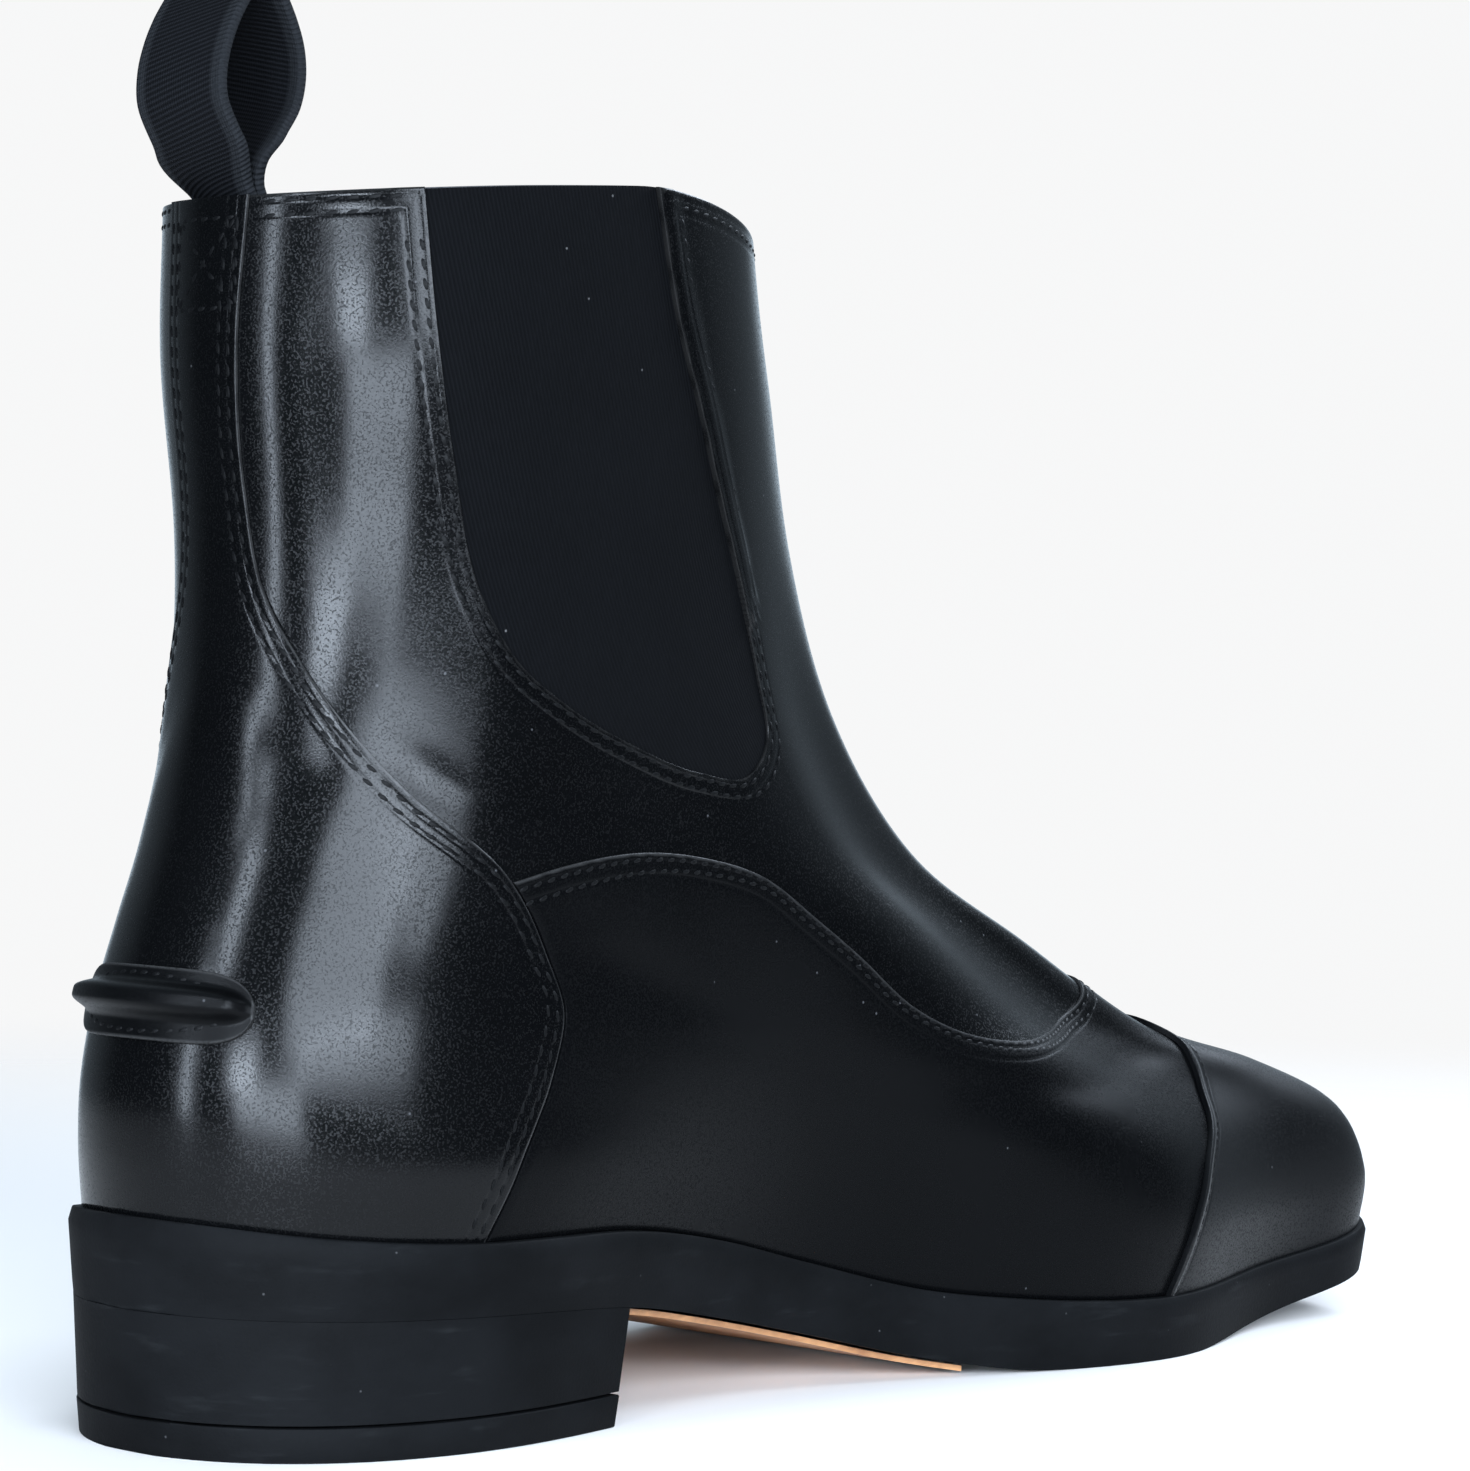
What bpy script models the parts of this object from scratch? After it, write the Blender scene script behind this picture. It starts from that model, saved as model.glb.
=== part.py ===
"""Left jodhpur boot: leather upper on a last, elastic sides, front zip, arched sole, stacked heel.

Toe along +X, the wearer's left along +Y, up along +Z, metres. Lengths below are millimetres.
The upper is a stack of rings from the feather line, where it meets the sole, up to the collar.
A place on it is an angle round the ring, 0 at the heel and pi at the toe, positive on the outer
side, and a row, 0 at the feather line and 10 at the collar.
"""
import math

import bmesh
import bpy
import numpy as np
from mathutils import Matrix, Vector
from mathutils.geometry import delaunay_2d_cdt

MM = 0.001
SMALL_STEP = 1e-3           # for slopes
FINE_STEPS = 400
SMOOTH_DEGREES = 35.0

LAST_LENGTH = 282.0
BALL_WIDTH = 83.0
COLLAR_HEIGHT = 182.5
HEEL_HEIGHT = 20.5

# Rings: shares in hundredths, of LAST_LENGTH for places along the foot (back, front), of
# COLLAR_HEIGHT for heights, of BALL_WIDTH for the toe's lean, end roundings and half widths.
RING_COLUMNS = ("back", "back_up", "front", "front_up", "lean", "back_round", "front_round",
                "heel", "waist_in", "waist_out", "ball_in", "ball_out", "toe_in", "toe_out")
RINGS = (
    ("feather", 1.2, 18.4, 100.0, 9.3, -6.0, 36.0, 37.5, 38.5, 26.5, 41.0, 45.0, 55.0, 29.0, 36.0),
    ("wall", 0.9, 23.6, 100.4, 14.8, -6.0, 36.0, 37.5, 40.0, 29.5, 41.5, 47.0, 56.0, 30.0, 37.5),
    ("toe_box", 0.9, 29.0, 97.5, 20.5, -6.0, 35.0, 35.0, 39.0, 32.5, 41.0, 45.0, 53.0, 28.5, 35.0),
    ("toe_top", 1.6, 35.1, 90.1, 24.7, -5.0, 34.0, 30.0, 37.5, 34.5, 40.0, 40.0, 46.0, 24.5, 29.0),
    ("vamp", 2.8, 41.1, 79.8, 28.7, -3.5, 32.5, 24.0, 35.5, 36.0, 39.0, 36.0, 40.0, 21.5, 24.0),
    ("low", 4.3, 47.7, 68.1, 37.5, -2.5, 31.5, 23.0, 34.0, 37.5, 39.0, 34.0, 36.0, 19.5, 20.5),
    ("throat", 5.4, 54.8, 58.0, 45.5, -1.0, 31.5, 24.0, 32.5, 38.5, 40.0, 34.0, 35.0, 20.5, 21.0),
    ("instep", 6.15, 63.0, 50.7, 57.5, 0.0, 31.5, 26.5, 31.4, 40.0, 40.5, 35.0, 35.5, 21.5, 21.5),
    ("ankle", 6.2, 72.9, 45.8, 72.3, 0.0, 32.5, 29.0, 31.0, 41.5, 41.5, 37.5, 37.5, 24.0, 24.0),
    ("shaft", 5.35, 86.0, 42.9, 88.6, 0.0, 34.0, 31.5, 32.0, 43.5, 43.5, 40.5, 40.5, 26.0, 26.0),
    ("collar", 5.35, 98.3, 40.9, 103.2, 0.0, 34.0, 34.0, 31.5, 44.5, 44.5, 41.5, 41.5, 27.0, 27.0),
)
TOP_ROW = len(RINGS) - 1
STATIONS = (0.0, 0.12, 0.40, 0.68, 0.90, 1.0)   # shares of a ring's length: heel, waist, ball, toe
SAG_ROWS = 5.0              # rows over which the arched feather line fades into straight rings
COLLAR_DIP = 11.0           # drop of the collar towards the zip, how it grows, and where it starts
COLLAR_DIP_POWER = 1.5
COLLAR_DIP_ROW = 8.5
FLAT_ROWS = 0.8             # rows near the sole where wall thickness is measured level

# Sole profile: hundredths of LAST_LENGTH along the foot, top height, underside height over HEEL_HEIGHT
SOLE_COLUMNS = ("along", "top", "low_share")
SOLE_PROFILE = (
    (0.0, 34.0, 1.00),
    (5.3, 32.0, 0.985),
    (12.8, 30.4, 0.965),
    (19.5, 30.0, 0.935),
    (25.5, 29.4, 0.88),
    (35.5, 25.2, 0.645),
    (42.5, 20.4, 0.44),
    (51.4, 14.3, 0.16),
    (58.0, 12.0, 0.02),
    (63.8, 10.8, 0.0),
    (73.0, 10.5, 0.0),
    (81.6, 11.1, 0.075),
    (88.6, 12.4, 0.185),
    (101.0, 17.5, 0.46),
)

# Stitched edges: row up the boot and degrees round from the heel, alike on both sides
COUNTER_EDGE = ((0.0, 43.0), (1.2, 46.5), (2.3, 51.0), (3.4, 54.5), (4.1, 54.0), (4.85, 51.0),
                (5.8, 36.5), (6.9, 19.5), (7.5, 11.0), (8.2, 7.0), (9.0, 7.0), (10.0, 9.5))
GORE_EDGE = ((10.0, 44.0), (9.1, 46.0), (8.4, 48.0), (7.5, 52.0), (7.05, 57.5), (6.75, 66.0),
             (6.5, 78.0), (6.36, 90.0), (6.42, 101.0), (6.75, 109.5), (7.2, 112.0), (7.7, 111.0),
             (8.5, 104.5), (9.2, 97.5), (10.0, 93.0))
VAMP_EDGE = ((4.85, 51.0), (5.1, 59.0), (5.4, 73.0), (5.45, 83.0), (5.3, 92.0), (4.9, 95.5),
             (4.5, 98.5), (4.0, 100.5), (3.7, 104.0), (3.62, 110.0), (3.8, 121.0), (4.15, 137.0),
             (4.5, 155.0), (4.65, 180.0))
CAP_EDGE = ((0.0, 111.5), (0.85, 113.0), (1.6, 118.0), (2.3, 128.0), (2.8, 135.5), (3.4, 146.0),
            (3.95, 162.0), (4.1, 180.0))
COUNTER_STEPS = 26          # steps along each edge
GORE_STEPS = 26
VAMP_STEPS = 30
CAP_STEPS = 14
JUNCTION_ROW = 4.85         # where counter, quarter and vamp meet
FLAT_ANGLE = 60.0           # panels are cut on the flat: millimetres per radian and per row
FLAT_ROW = 17.0
EDGE_STEP = 0.12            # radians between places along a level edge
EDGE_LEAST = 0.8            # shortest step kept on a panel's outline
EDGE_CLEAR = 2.5            # least distance from a panel's outline to a grid place inside it

# Layers, measured out from the quarter's outer face
UPPER_FACE = -1.7
UPPER_WALL = 1.8
PANEL_BACK = -1.0
QUARTER_FACE = 0.0
GORE_FACE = -0.3
VAMP_FACE = 0.5
COUNTER_FACE = 0.5
CAP_FACE = 1.1
SEAM_GAP = 0.5              # between neighbouring panels
SEAT_GAP = 0.4              # between a piece and the piece it sits on

UPPER_COLUMNS = 48
UPPER_ROWS = (0.0, 0.6, 1.1, 1.5, 1.9, 2.3, 2.7, 3.2, 3.8, 4.4, 5.0, 5.5, 6.0, 6.6, 7.3, 8.1, 9.0, 10.0)
SLIT_ROW = 5.5              # lower end of the front zip
SLIT_FULL_ROW = 6.0
SLIT_HALF = 3.0

ZIP_EDGE_HALF = 3.5
ZIP_BUTT_HALF = 0.3
ZIP_PART_ROW = 5.3          # the quarters part here for the zip
ZIP_PART_ROWS = 0.6
ZIP_STEPS = 13
TAPE_HALF = 12.0
TAPE_ROWS = (5.2, 9.9)
TAPE_GAP = 0.6              # the tape is clear of the wall before it and the chain on it
TAPE_FACE = UPPER_FACE - UPPER_WALL - TAPE_GAP
TAPE_THICK = 0.6
TAPE_STEPS = (6, 10)        # across and along
CHAIN_HALF = 2.3
CHAIN_ROWS = (6.1, 9.9)
CHAIN_FACE = -0.9
CHAIN_BACK = TAPE_FACE + TAPE_GAP
CHAIN_STEPS = (2, 12)

SLIDER_ROW = 9.45
SLIDER_ROWS = 0.2           # rows either side that set the slider's lean
SLIDER_HALF_LENGTH = 5.0
SLIDER_HALF_WIDTH = 2.0
SLIDER_CHAMFER = 0.6
SLIDER_NOSE = 0.8
SLIDER_FOOT = CHAIN_FACE + SEAT_GAP
SLIDER_TOP = 1.4
HOOK_REAR = (1.0, 2.2)      # inner and outer face of the hook's upper post
HOOK_TIP = (-2.4, -1.6)     # outer and inner face of its lip
HOOK_ROOF = (3.4, 4.2)
HOOK_MOUTH = 2.05           # height of the lip's lower end
PIVOT = (-0.6, 2.4)         # along and out: the pull's bar inside the hook
BAR_HALF = 0.5
PULL_EYE_HALF = 2.5
PULL_EYE_END = 4.2
# Pull tab outline below its eye: distance from the pivot, half width
PULL_OUTLINE = ((5.2, 3.4), (7.0, 2.6), (10.5, 2.2), (13.0, 2.9), (15.0, 3.2), (16.4, 2.6), (17.0, 1.4))
PULL_TOP_HALF = 3.6

SPUR_ROW = 2.98
SPUR_HALF_ROWS = 0.46
SPUR_DEGREES = 17.5
SPUR_FLANGE = 0.9
SPUR_RIDGE = 2.7
SPUR_RIDGE_PLACE = 0.54     # share of the rest's height at the ridge
SPUR_RIDGE_WIDTH = 0.2
SPUR_RIDGE_FADE = 0.18      # share of the half length over which the ridge ends
SPUR_ROUND = 6              # power of the oval's rounded ends, and their least height share
SPUR_END = 0.2
SPUR_STEPS = (14, 8)

LOOP_WIDTH = 18.6
LOOP_THICK = 1.6
LOOP_TOP = 213.0
LOOP_GAP = 0.6              # between the back leg and the collar's inner wall
LOOP_LEG_END = 163.0
LOOP_LEG_TOP = 179.0
LOOP_LEG_STEPS = 3
LOOP_ACROSS_STEPS = 4
LOOP_WALL_ROWS = (8.7, 9.0, 9.4, 9.8)
LOOP_BOW = 0.0235           # curve of the legs against the round back of the collar, per mm
LOOP_FREE = 186.0           # height where that curve has gone, and the height it fades over
LOOP_FADE = 6.0
LOOP_ASIDE = 3.6            # the loop sits a little to the outer side
LOOP_LEAN = 3.1             # its legs sit further out, up to this height, over this fade
LOOP_LEAN_TOP = 188.0
LOOP_LEAN_FADE = 7.0
# Loop above the collar: shift of its middle and half its opening at the strap's middle line, height
LOOP_SIDE = ((-0.2, 1.1, 181.5), (-1.8, 1.9, 185.0), (-2.2, 4.6, 189.0), (-2.0, 7.0, 193.2),
             (-1.6, 7.5, 197.5), (-1.3, 6.8, 201.5), (-1.2, 5.1, 205.5), (-1.1, 3.0, 209.0),
             (-0.9, 1.5, 211.8))

SOLE_LIP = 2.5              # sole edge proud of the quarter's face
# Sole edge section: share of the height, distance proud
SOLE_SECTION = ((0.0, 1.3), (0.12, 1.7), (0.86, 2.5), (1.0, 1.9))
SOLE_COLUMNS_HALF = 34
BREAST_TOP = 73.0
BREAST_FOOT = 71.4
BREAST_PIECE = 71.8         # breast of the top piece where it meets the block
# Heel block: height over its foot plane, distance proud of the feather line
TOP_PIECE_HEIGHT = 5.0
HEEL_TOP_LIP = 1.5
HEEL_FOOT_LIP = 0.6
TOP_PIECE_LIP = 0.7
GROUND_LIP = 0.2
HEEL_COLUMNS_HALF = 16
INSOLE_THICK = 3.0
INSOLE_EDGE = 0.7           # share of the thickness below its rounded rim
INSOLE_RIM = 0.8
INSOLE_GAP = 0.6            # between the insole's edge and the upper's inner wall
WAIST_FROM = 76.0
WAIST_TO = 153.0
WAIST_INSET = -1.2
WAIST_THICK = 0.9
WAIST_STEPS = (4, 12)       # across and along


def cubic(where, knots, values):
    """Smooth curve through values at knots, read at where; the last axis of values runs along knots."""
    knots = np.asarray(knots, float)
    values = np.asarray(values, float)
    where = np.asarray(where, float)
    slopes = np.gradient(values, knots, axis=-1)
    index = np.clip(np.searchsorted(knots, where, side="right") - 1, 0, len(knots) - 2)
    span = knots[index + 1] - knots[index]
    share = (where - knots[index]) / span

    def pick(table, place):
        if table.ndim == 1:
            return table[place]
        return np.take_along_axis(table, place[..., None], -1)[..., 0]

    near = (2 * share ** 3 - 3 * share ** 2 + 1) * pick(values, index)
    near = near + (share ** 3 - 2 * share ** 2 + share) * span * pick(slopes, index)
    far = (3 * share ** 2 - 2 * share ** 3) * pick(values, index + 1)
    far = far + (share ** 3 - share ** 2) * span * pick(slopes, index + 1)
    return near + far


def ease(share):
    share = np.clip(share, 0.0, 1.0)
    return share * share * (3.0 - 2.0 * share)


def ring_sizes(row):
    """Every column of the ring table at a row between the named rings, in millimetres."""
    scales = {"back": LAST_LENGTH, "front": LAST_LENGTH}
    scales.update(back_up=COLLAR_HEIGHT, front_up=COLLAR_HEIGHT)
    table = np.array([ring[1:] for ring in RINGS])
    knots = np.arange(len(RINGS))
    sizes = {}
    for column, name in enumerate(RING_COLUMNS):
        sizes[name] = cubic(row, knots, table[:, column]) * scales.get(name, BALL_WIDTH) / 100.0
    return sizes


def sole_height(along, column):
    table = np.array(SOLE_PROFILE)
    values = table[:, SOLE_COLUMNS.index(column)]
    return cubic(along, table[:, 0] * LAST_LENGTH / 100.0, values)


def sole_top(along):
    return sole_height(along, "top")


def sole_low(along):
    return np.maximum(sole_height(along, "low_share"), 0.0) * HEEL_HEIGHT


def front_reach(sizes):
    """Sideways distance per radian at the very front of a ring."""
    return np.sqrt(sizes["front_round"] * (sizes["front"] - sizes["back"]) / 2.0)


def half_width(share, sizes, side):
    """Ring's half width over sin(angle), at a share of its length."""
    length = sizes["front"] - sizes["back"]
    values = [np.sqrt(sizes["back_round"] * length / 2.0)]
    columns = ("heel", "waist_" + side, "ball_" + side, "toe_" + side)
    for station, name in zip(STATIONS[1:-1], columns):
        values.append(sizes[name] / (2.0 * math.sqrt(station * (1.0 - station))))
    values.append(front_reach(sizes))
    return cubic(share, STATIONS, np.stack(np.broadcast_arrays(*values), -1))


def last_point(angle, row):
    """A point on the quarter's outer face."""
    angle, row = np.broadcast_arrays(np.asarray(angle, float), np.asarray(row, float))
    sizes = ring_sizes(row)
    share = (1.0 - np.cos(angle)) / 2.0
    along = sizes["back"] + share * (sizes["front"] - sizes["back"])
    up = sizes["back_up"] + share * (sizes["front_up"] - sizes["back_up"])
    feather = ring_sizes(0.0)
    feather_along = feather["back"] + share * (feather["front"] - feather["back"])
    feather_up = feather["back_up"] + share * (feather["front_up"] - feather["back_up"])
    up = up + (sole_top(feather_along) - feather_up) * ease(1.0 - row / SAG_ROWS)
    dip = COLLAR_DIP * ease((row - COLLAR_DIP_ROW) / (TOP_ROW - COLLAR_DIP_ROW))
    up = up - dip * np.maximum(-np.cos(angle), 0.0) ** COLLAR_DIP_POWER
    sine = np.sin(angle)
    width = np.where(sine >= 0.0, half_width(share, sizes, "out"), half_width(share, sizes, "in"))
    return np.stack([along, sizes["lean"] * share + width * sine, up], -1)


def skin(angle, row, lift=0.0):
    """A point lifted off the quarter's outer face, level near the sole."""
    angle, row, lift = np.broadcast_arrays(*(np.asarray(value, float) for value in (angle, row, lift)))
    upper_row = np.minimum(row + SMALL_STEP, TOP_ROW)
    lower_row = np.maximum(row - SMALL_STEP, 0.0)
    across = last_point(angle + SMALL_STEP, row) - last_point(angle - SMALL_STEP, row)
    upward = last_point(angle, upper_row) - last_point(angle, lower_row)
    normal = np.cross(upward, across)
    normal = normal / np.linalg.norm(normal, axis=-1, keepdims=True)
    upright = ease(row / FLAT_ROWS)
    normal = normal * np.stack([np.ones_like(row), np.ones_like(row), upright], -1)
    normal = normal / np.linalg.norm(normal, axis=-1, keepdims=True)
    return last_point(angle, row) + normal * lift[..., None]


def seam(edge, count, shift=0.0):
    """Angles and rows of count + 1 places along a stitched edge, shifted sideways in millimetres."""
    rows = np.array([place[0] for place in edge])
    angles = np.radians([place[1] for place in edge])
    points = last_point(angles, rows)
    travel = np.concatenate([[0.0], np.cumsum(np.linalg.norm(np.diff(points, axis=0), axis=1))])
    where = np.linspace(0.0, travel[-1], count + 1)
    angle = cubic(where, travel, angles)
    row = np.clip(cubic(where, travel, rows), 0.0, TOP_ROW)
    across = last_point(angle + SMALL_STEP, row) - last_point(angle - SMALL_STEP, row)
    per_angle = np.linalg.norm(across, axis=-1) / (2.0 * SMALL_STEP)
    low = np.maximum(row - SMALL_STEP, 0.0)
    high = np.minimum(row + SMALL_STEP, TOP_ROW)
    per_row = np.linalg.norm(last_point(angle, high) - last_point(angle, low), axis=-1) / (high - low)
    run = np.gradient(angle) * per_angle
    rise = np.gradient(row) * per_row
    length = np.hypot(run, rise)
    angle = angle - rise / length * shift / per_angle
    row = row + run / length * shift / per_row
    return angle, np.clip(row, 0.0, TOP_ROW)


def front_angle(row, aside):
    """Angle of a place that lies aside of the centre front by so many millimetres."""
    return math.pi - aside / front_reach(ring_sizes(row))


def new_object(name, mesh, colour, roughness, metallic=0.0):
    """Named object of a finished bmesh, in metres, with its own material."""
    bmesh.ops.remove_doubles(mesh, verts=mesh.verts[:], dist=1e-4)
    bmesh.ops.recalc_face_normals(mesh, faces=mesh.faces[:])
    bmesh.ops.translate(mesh, verts=mesh.verts[:], vec=(-CENTRE[0], -CENTRE[1], 0.0))
    bmesh.ops.scale(mesh, verts=mesh.verts[:], vec=(MM, MM, MM))
    data = bpy.data.meshes.new(name)
    mesh.to_mesh(data)
    mesh.free()
    data.shade_smooth()
    data.set_sharp_from_angle(angle=math.radians(SMOOTH_DEGREES))
    thing = bpy.data.objects.new(name, data)
    bpy.context.scene.collection.objects.link(thing)
    material = bpy.data.materials.new(name)
    material.use_nodes = True
    shader = material.node_tree.nodes["Principled BSDF"]
    shader.inputs["Base Color"].default_value = (*colour, 1.0)
    shader.inputs["Roughness"].default_value = roughness
    shader.inputs["Metallic"].default_value = metallic
    data.materials.append(material)
    return thing


LEATHER = dict(colour=(0.020, 0.022, 0.026), roughness=0.42)
LINING = dict(colour=(0.030, 0.031, 0.034), roughness=0.70)
ELASTIC = dict(colour=(0.016, 0.018, 0.024), roughness=0.85)
WEBBING = dict(colour=(0.014, 0.017, 0.024), roughness=0.80)
RUBBER = dict(colour=(0.030, 0.033, 0.038), roughness=0.62)
TAN = dict(colour=(0.55, 0.30, 0.15), roughness=0.55)
STEEL = dict(colour=(0.30, 0.31, 0.33), roughness=0.30, metallic=1.0)


def add_grid(mesh, points):
    """Vertices of a grid of points, as rows of bmesh vertices."""
    return [[mesh.verts.new(point) for point in line] for line in points]


def quad_strip(mesh, one, two):
    """Faces between two lines of vertices."""
    for here in range(len(one) - 1):
        mesh.faces.new((one[here], one[here + 1], two[here + 1], two[here]))


def sheet_solid(name, outer, inner, finish):
    """Closed sheet between two grids of points."""
    mesh = bmesh.new()
    front = add_grid(mesh, outer)
    back = add_grid(mesh, inner)
    for line in range(len(front) - 1):
        quad_strip(mesh, front[line], front[line + 1])
        quad_strip(mesh, back[line + 1], back[line])
    quad_strip(mesh, back[0], front[0])
    quad_strip(mesh, front[-1], back[-1])
    quad_strip(mesh, [line[0] for line in front], [line[0] for line in back])
    quad_strip(mesh, [line[-1] for line in back], [line[-1] for line in front])
    return new_object(name, mesh, **finish)


def between(start, end, count):
    """Grid of values from one line to another, count steps apart."""
    share = np.linspace(0.0, 1.0, count + 1)[:, None]
    return start[None, :] * (1.0 - share) + end[None, :] * share


def level(row, start, end):
    """Places along a ring from one angle to another, both ends included."""
    count = max(1, round(abs(end - start) / EDGE_STEP))
    angle = np.linspace(start, end, count + 1)
    return angle, np.full_like(angle, row)


def flip(line, about=0.0):
    """The same line on the other side, run backwards."""
    angle, row = line
    return (2.0 * about - angle)[::-1], row[::-1]


def outline(*lines):
    """One closed outline of lines that follow each other, without doubled corners."""
    flat = np.concatenate([np.stack([angle * FLAT_ANGLE, row * FLAT_ROW], -1) for angle, row in lines])
    step = np.linalg.norm(flat - np.roll(flat, 1, axis=0), axis=1)
    return flat[step > EDGE_LEAST]


def inside(points, edge):
    """Which points lie inside a closed outline, clear of its line."""
    start = edge
    run = np.roll(edge, -1, axis=0) - edge
    offset = points[:, None, :] - start[None, :, :]
    share = np.clip((offset * run).sum(-1) / (run ** 2).sum(-1), 0.0, 1.0)
    distance = np.linalg.norm(offset - share[..., None] * run, axis=-1).min(axis=1)
    crosses = (start[None, :, 1] > points[:, None, 1]) != ((start + run)[None, :, 1] > points[:, None, 1])
    level_run = np.where(run[:, 1] == 0.0, 1.0, run[:, 1])
    reach = offset[..., 1] * run[None, :, 0] / level_run[None, :]
    hits = (crosses & (offset[..., 0] < reach)).sum(axis=1)
    return (hits % 2 == 1) & (distance > EDGE_CLEAR)


def cut_panel(name, edge, face, finish):
    """Panel cut to an outline, between two layers of the upper's own form and on its grid."""
    columns = np.arange(-UPPER_COLUMNS, 2 * UPPER_COLUMNS) * 2.0 * math.pi / UPPER_COLUMNS
    grid = np.array([(angle * FLAT_ANGLE, row * FLAT_ROW) for row in UPPER_ROWS for angle in columns])
    grid = grid[inside(grid, edge)]
    points = [Vector(point) for point in np.concatenate([edge, grid])]
    cut = delaunay_2d_cdt(points, [], [list(range(len(edge)))], 1, 1e-5)
    flat = np.array([tuple(point) for point in cut[0]])
    angle = flat[:, 0] / FLAT_ANGLE
    row = np.clip(flat[:, 1] / FLAT_ROW, 0.0, TOP_ROW)
    mesh = bmesh.new()
    back = [mesh.verts.new(point) for point in skin(angle, row, PANEL_BACK)]
    front = [mesh.verts.new(point) for point in skin(angle, row, face)]
    for corners in cut[2]:
        mesh.faces.new([front[corner] for corner in corners])
        mesh.faces.new([back[corner] for corner in reversed(corners)])
    used = {}
    for corners in cut[2]:
        for one, two in zip(corners, corners[1:] + corners[:1]):
            used[one, two] = used.get((two, one), 0) == 0
            if (two, one) in used:
                used[two, one] = False
    for (one, two), rim in used.items():
        if rim:
            mesh.faces.new((front[two], front[one], back[one], back[two]))
    return new_object(name, mesh, **finish)


def add_upper():
    """Hollow shell, open at the collar and underneath, slit at the front for the zip."""
    mesh = bmesh.new()
    share = np.linspace(-1.0, 1.0, UPPER_COLUMNS + 1)
    rows = np.array(UPPER_ROWS)
    opening = SLIT_HALF * ease((rows - SLIT_ROW) / (SLIT_FULL_ROW - SLIT_ROW))
    reach = np.pi - opening / front_reach(ring_sizes(rows))
    angle = reach[:, None] * share[None, :]
    row = np.repeat(rows[:, None], UPPER_COLUMNS + 1, axis=1)
    faces = []
    for lift in (UPPER_FACE, UPPER_FACE - UPPER_WALL):
        grid = add_grid(mesh, skin(angle, row, lift))
        for line, height in zip(grid, rows):
            if height <= SLIT_ROW:
                mesh.verts.remove(line[-1])
                line[-1] = line[0]
        faces.append(grid)
    front, back = faces
    for line in range(len(rows) - 1):
        quad_strip(mesh, front[line], front[line + 1])
        quad_strip(mesh, back[line + 1], back[line])
    quad_strip(mesh, back[0], front[0])
    quad_strip(mesh, front[-1], back[-1])
    start = UPPER_ROWS.index(SLIT_ROW)
    quad_strip(mesh, [line[0] for line in front[start:]], [line[0] for line in back[start:]])
    quad_strip(mesh, [line[-1] for line in back[start:]], [line[-1] for line in front[start:]])
    return new_object("upper", mesh, **LINING)


def counter_edge(shift, low, high):
    """The counter's edge, shifted sideways, between two rows."""
    angle, row = seam(COUNTER_EDGE, COUNTER_STEPS, shift)
    row[[0, -1]] = (0.0, TOP_ROW)
    kept = (row >= low) & (row <= high)
    return angle[kept], row[kept]


def add_counter():
    angle, row = counter_edge(SEAM_GAP / 2.0, 0.0, TOP_ROW)
    side = (angle, row)
    foot = level(0.0, -angle[0], angle[0])
    top = level(TOP_ROW, angle[-1], -angle[-1])
    cut_panel("counter", outline(foot, side, top, flip(side)), COUNTER_FACE, LEATHER)


def add_toe_cap():
    angle, row = seam(CAP_EDGE, CAP_STEPS, -SEAM_GAP / 2.0)
    angle[-1] = math.pi
    row[0] = 0.0
    side = (angle, row)
    foot = level(0.0, 2.0 * math.pi - angle[0], angle[0])
    cut_panel("toe_cap", outline(side, flip(side, math.pi), foot), CAP_FACE, LEATHER)


def add_vamp():
    """Forepart from the counter and the quarters' curved edge to the toe cap's line."""
    side_angle, side_row = counter_edge(-SEAM_GAP / 2.0, 0.0, JUNCTION_ROW)
    top_angle, top_row = seam(VAMP_EDGE, VAMP_STEPS, -SEAM_GAP / 2.0)
    top_angle[-1] = math.pi
    cap_angle, cap_row = seam(CAP_EDGE, CAP_STEPS, SEAM_GAP / 2.0)
    cap_angle[-1] = math.pi
    cap_row[0] = 0.0
    rear = (np.concatenate([side_angle, top_angle[1:]]), np.concatenate([side_row, top_row[1:]]))
    cap = (cap_angle, cap_row)
    turn = 2.0 * math.pi
    cut_panel("vamp", outline(level(0.0, side_angle[0], cap_angle[0]), cap, flip(cap, math.pi),
                              level(0.0, turn - cap_angle[0], turn - side_angle[0]),
                              (turn - rear[0], rear[1]), (rear[0][::-1], rear[1][::-1])),
              VAMP_FACE, LEATHER)


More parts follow.
